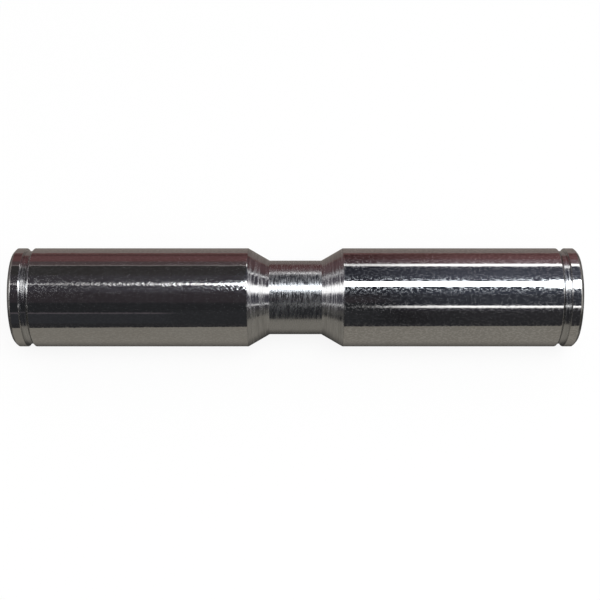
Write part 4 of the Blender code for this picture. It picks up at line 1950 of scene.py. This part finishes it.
@dataclass
class Table:
    """The grey table under the diffuser, with the dark floor before it and the brown one behind it."""

    clearance: float = 0.02 * MM
    front: float = 72.0 * MM
    skew: float = 0.35
    back: float = 106.0 * MM
    edge: float = 1.5 * MM
    near_top: Tone = Tone(110, 107, 101)
    far_top: Tone = Tone(104, 96, 93)
    top_run: Levels = (-0.02, 0.05)
    pale_top: Tone = Tone(150, 147, 141)
    pale_run: Levels = (75.0 * MM, 160.0 * MM)
    shadow: Tone = Tone(48, 47, 46)
    shadow_width: Levels = (4.0 * MM, 13.0 * MM)
    shadow_length: Levels = (78.0 * MM, 95.0 * MM)
    end_shadow_start: Levels = (54.0 * MM, 62.0 * MM)
    end_shadow_end: Levels = (95.0 * MM, 120.0 * MM)
    end_shadow_width: Levels = (22.0 * MM, 30.0 * MM)
    dark_floor: Tone = Tone(37, 37, 39)
    brown_floor: Tone = Tone(84, 58, 57)
    grey_floor: Tone = Tone(74, 68, 71)
    grey_run: Levels = (0.12, 0.2)

    def build(self, tent: Tent) -> None:
        """Lay the table just above the white floor.

        Args:
            tent: The tent that the table fills.
        """
        x, y, level = tent.half_length, tent.radius, ground() + self.clearance
        graph = stage_mesh("table_card", [(-x, -y, level), (x, -y, level), (x, y, level), (-x, y, level)], QUAD)
        along, across, _ = graph.parts(graph.spot())
        top = graph.blend(across.rising(*self.top_run), self.near_top.on_steel(), self.far_top.on_steel())
        top = graph.blend(abs(along).rising(*self.pale_run), top, self.pale_top.on_steel())
        top = graph.blend(self._shade(along, across), top, self.shadow.on_steel())
        front = across + along * self.skew + self.front
        before = graph.blend(front.rising(-self.edge, self.edge), self.dark_floor.on_steel(), top)
        behind = across - self.back
        greyed = abs(along).rising(*self.grey_run)
        brown = graph.blend(greyed, self.brown_floor.on_steel(), self.grey_floor.on_steel())
        graph.end(graph.glow(graph.blend(behind.rising(-self.edge, self.edge), before, brown)))

    def _shade(self, along: Wire, across: Wire) -> Wire:
        """Work out the diffuser's own shadow on the table.

        Args:
            along: A point's place along the axis.
            across: Its place across it.

        Returns:
            1 in the shadow, which is wider beyond the ends, and 0 out of it.
        """
        under = (1.0 - abs(across).rising(*self.shadow_width)) * (1.0 - abs(along).rising(*self.shadow_length))
        ends = abs(along).rising(*self.end_shadow_start) * (1.0 - abs(along).rising(*self.end_shadow_end))
        return (under + ends * (1.0 - abs(across).rising(*self.end_shadow_width))).clamped()


@dataclass
class Studio:
    """The white floor and room, the tent that the steel mirrors, the soft lamp and the camera."""

    floor_reach: float = 4.0
    floor_white: float = 0.9
    floor_glow: float = 0.88
    ambient: float = 0.55
    lamp_place: Place = (0.15, -0.2, 0.7)
    lamp_size: float = 0.5
    lamp_power: float = 4.0
    camera_distance: float = 208.0 * MM
    camera_elevation: float = math.radians(62.0)
    camera_tilt: float = math.radians(3.5)
    camera_clip: float = 0.01
    lens: float = 76.23
    sensor: float = 36.0
    shift: Levels = (4.5 / PHOTO_SIZE, -2.55 / PHOTO_SIZE)
    tent: Tent = field(default_factory=Tent)
    walls: EndWalls = field(default_factory=EndWalls)
    table: Table = field(default_factory=Table)

    def build(self) -> None:
        """Build the studio."""
        bpy.context.scene.view_settings.view_transform = "Standard"
        self._build_floor()
        self._build_world()
        self.tent.build()
        self.walls.build(self.tent)
        self.table.build(self.tent)
        self._build_lamp()
        self._build_camera()

    def _build_floor(self) -> None:
        """Lay the white floor, which glows enough to look white, takes a shadow, and is clear from below."""
        reach = self.floor_reach
        corners = [(-reach, -reach), (reach, -reach), (reach, reach), (-reach, reach)]
        graph = stage_mesh("floor", [(x, y, ground()) for x, y in corners], QUAD, mirrored=False)
        matt = graph.node("ShaderNodeBsdfDiffuse", inputs={"Color": grey(self.floor_white)})["BSDF"]
        white = graph.mixed(graph.seen() * self.floor_glow, matt, graph.glow(grey(1.0)))
        below = graph.node("ShaderNodeNewGeometry")["Backfacing"]
        clear = graph.node("ShaderNodeBsdfTransparent")["BSDF"]
        graph.end(graph.mixed(below, white, clear))

    def _build_world(self) -> None:
        """Make the world white to the eye and in shine, and a soft light otherwise."""
        world = bpy.data.worlds.new("white_room")
        world.use_nodes = True
        bpy.context.scene.world = world
        graph = Graph(world.node_tree)
        colour = graph.blend(graph.seen(), grey(self.ambient), grey(1.0))
        light = graph.node("ShaderNodeBackground", inputs={"Color": colour, "Strength": 1.0})["Background"]
        graph.node("ShaderNodeOutputWorld", inputs={"Surface": light})

    def _build_lamp(self) -> None:
        """Hang one broad soft lamp over the front of the diffuser."""
        data = bpy.data.lights.new("soft_box", "AREA")
        data.shape = "SQUARE"
        data.size = self.lamp_size
        data.energy = self.lamp_power
        lamp = aim("soft_box", data, self.lamp_place)
        lamp.visible_glossy = False
        lamp.visible_transmission = False

    def _build_camera(self) -> None:
        """Set the camera in front of the diffuser and well above it."""
        data = bpy.data.cameras.new("camera")
        data.lens = self.lens
        data.sensor_width = self.sensor
        data.shift_x = self.shift[0]
        data.shift_y = self.shift[1] + math.tan(self.camera_tilt) * self.lens / self.sensor
        data.clip_start = self.camera_clip
        back = math.cos(self.camera_elevation)
        up = math.sin(self.camera_elevation)
        camera = aim("camera", data, Vector((0.0, -back, up)) * self.camera_distance)
        camera.rotation_euler.x -= self.camera_tilt
        bpy.context.scene.camera = camera


def main() -> None:
    """Build, dress and install every sub-assembly, then the studio."""
    logging.basicConfig(level=logging.INFO, format="%(name)s: %(message)s")
    for group in (Body(), InletCap(), TubePort(), CheckValve(), OutletCap(), DiscStack()):
        group.build()
        group.dress()
        group.install()
    Studio().build()


if __name__ == "__main__":
    main()
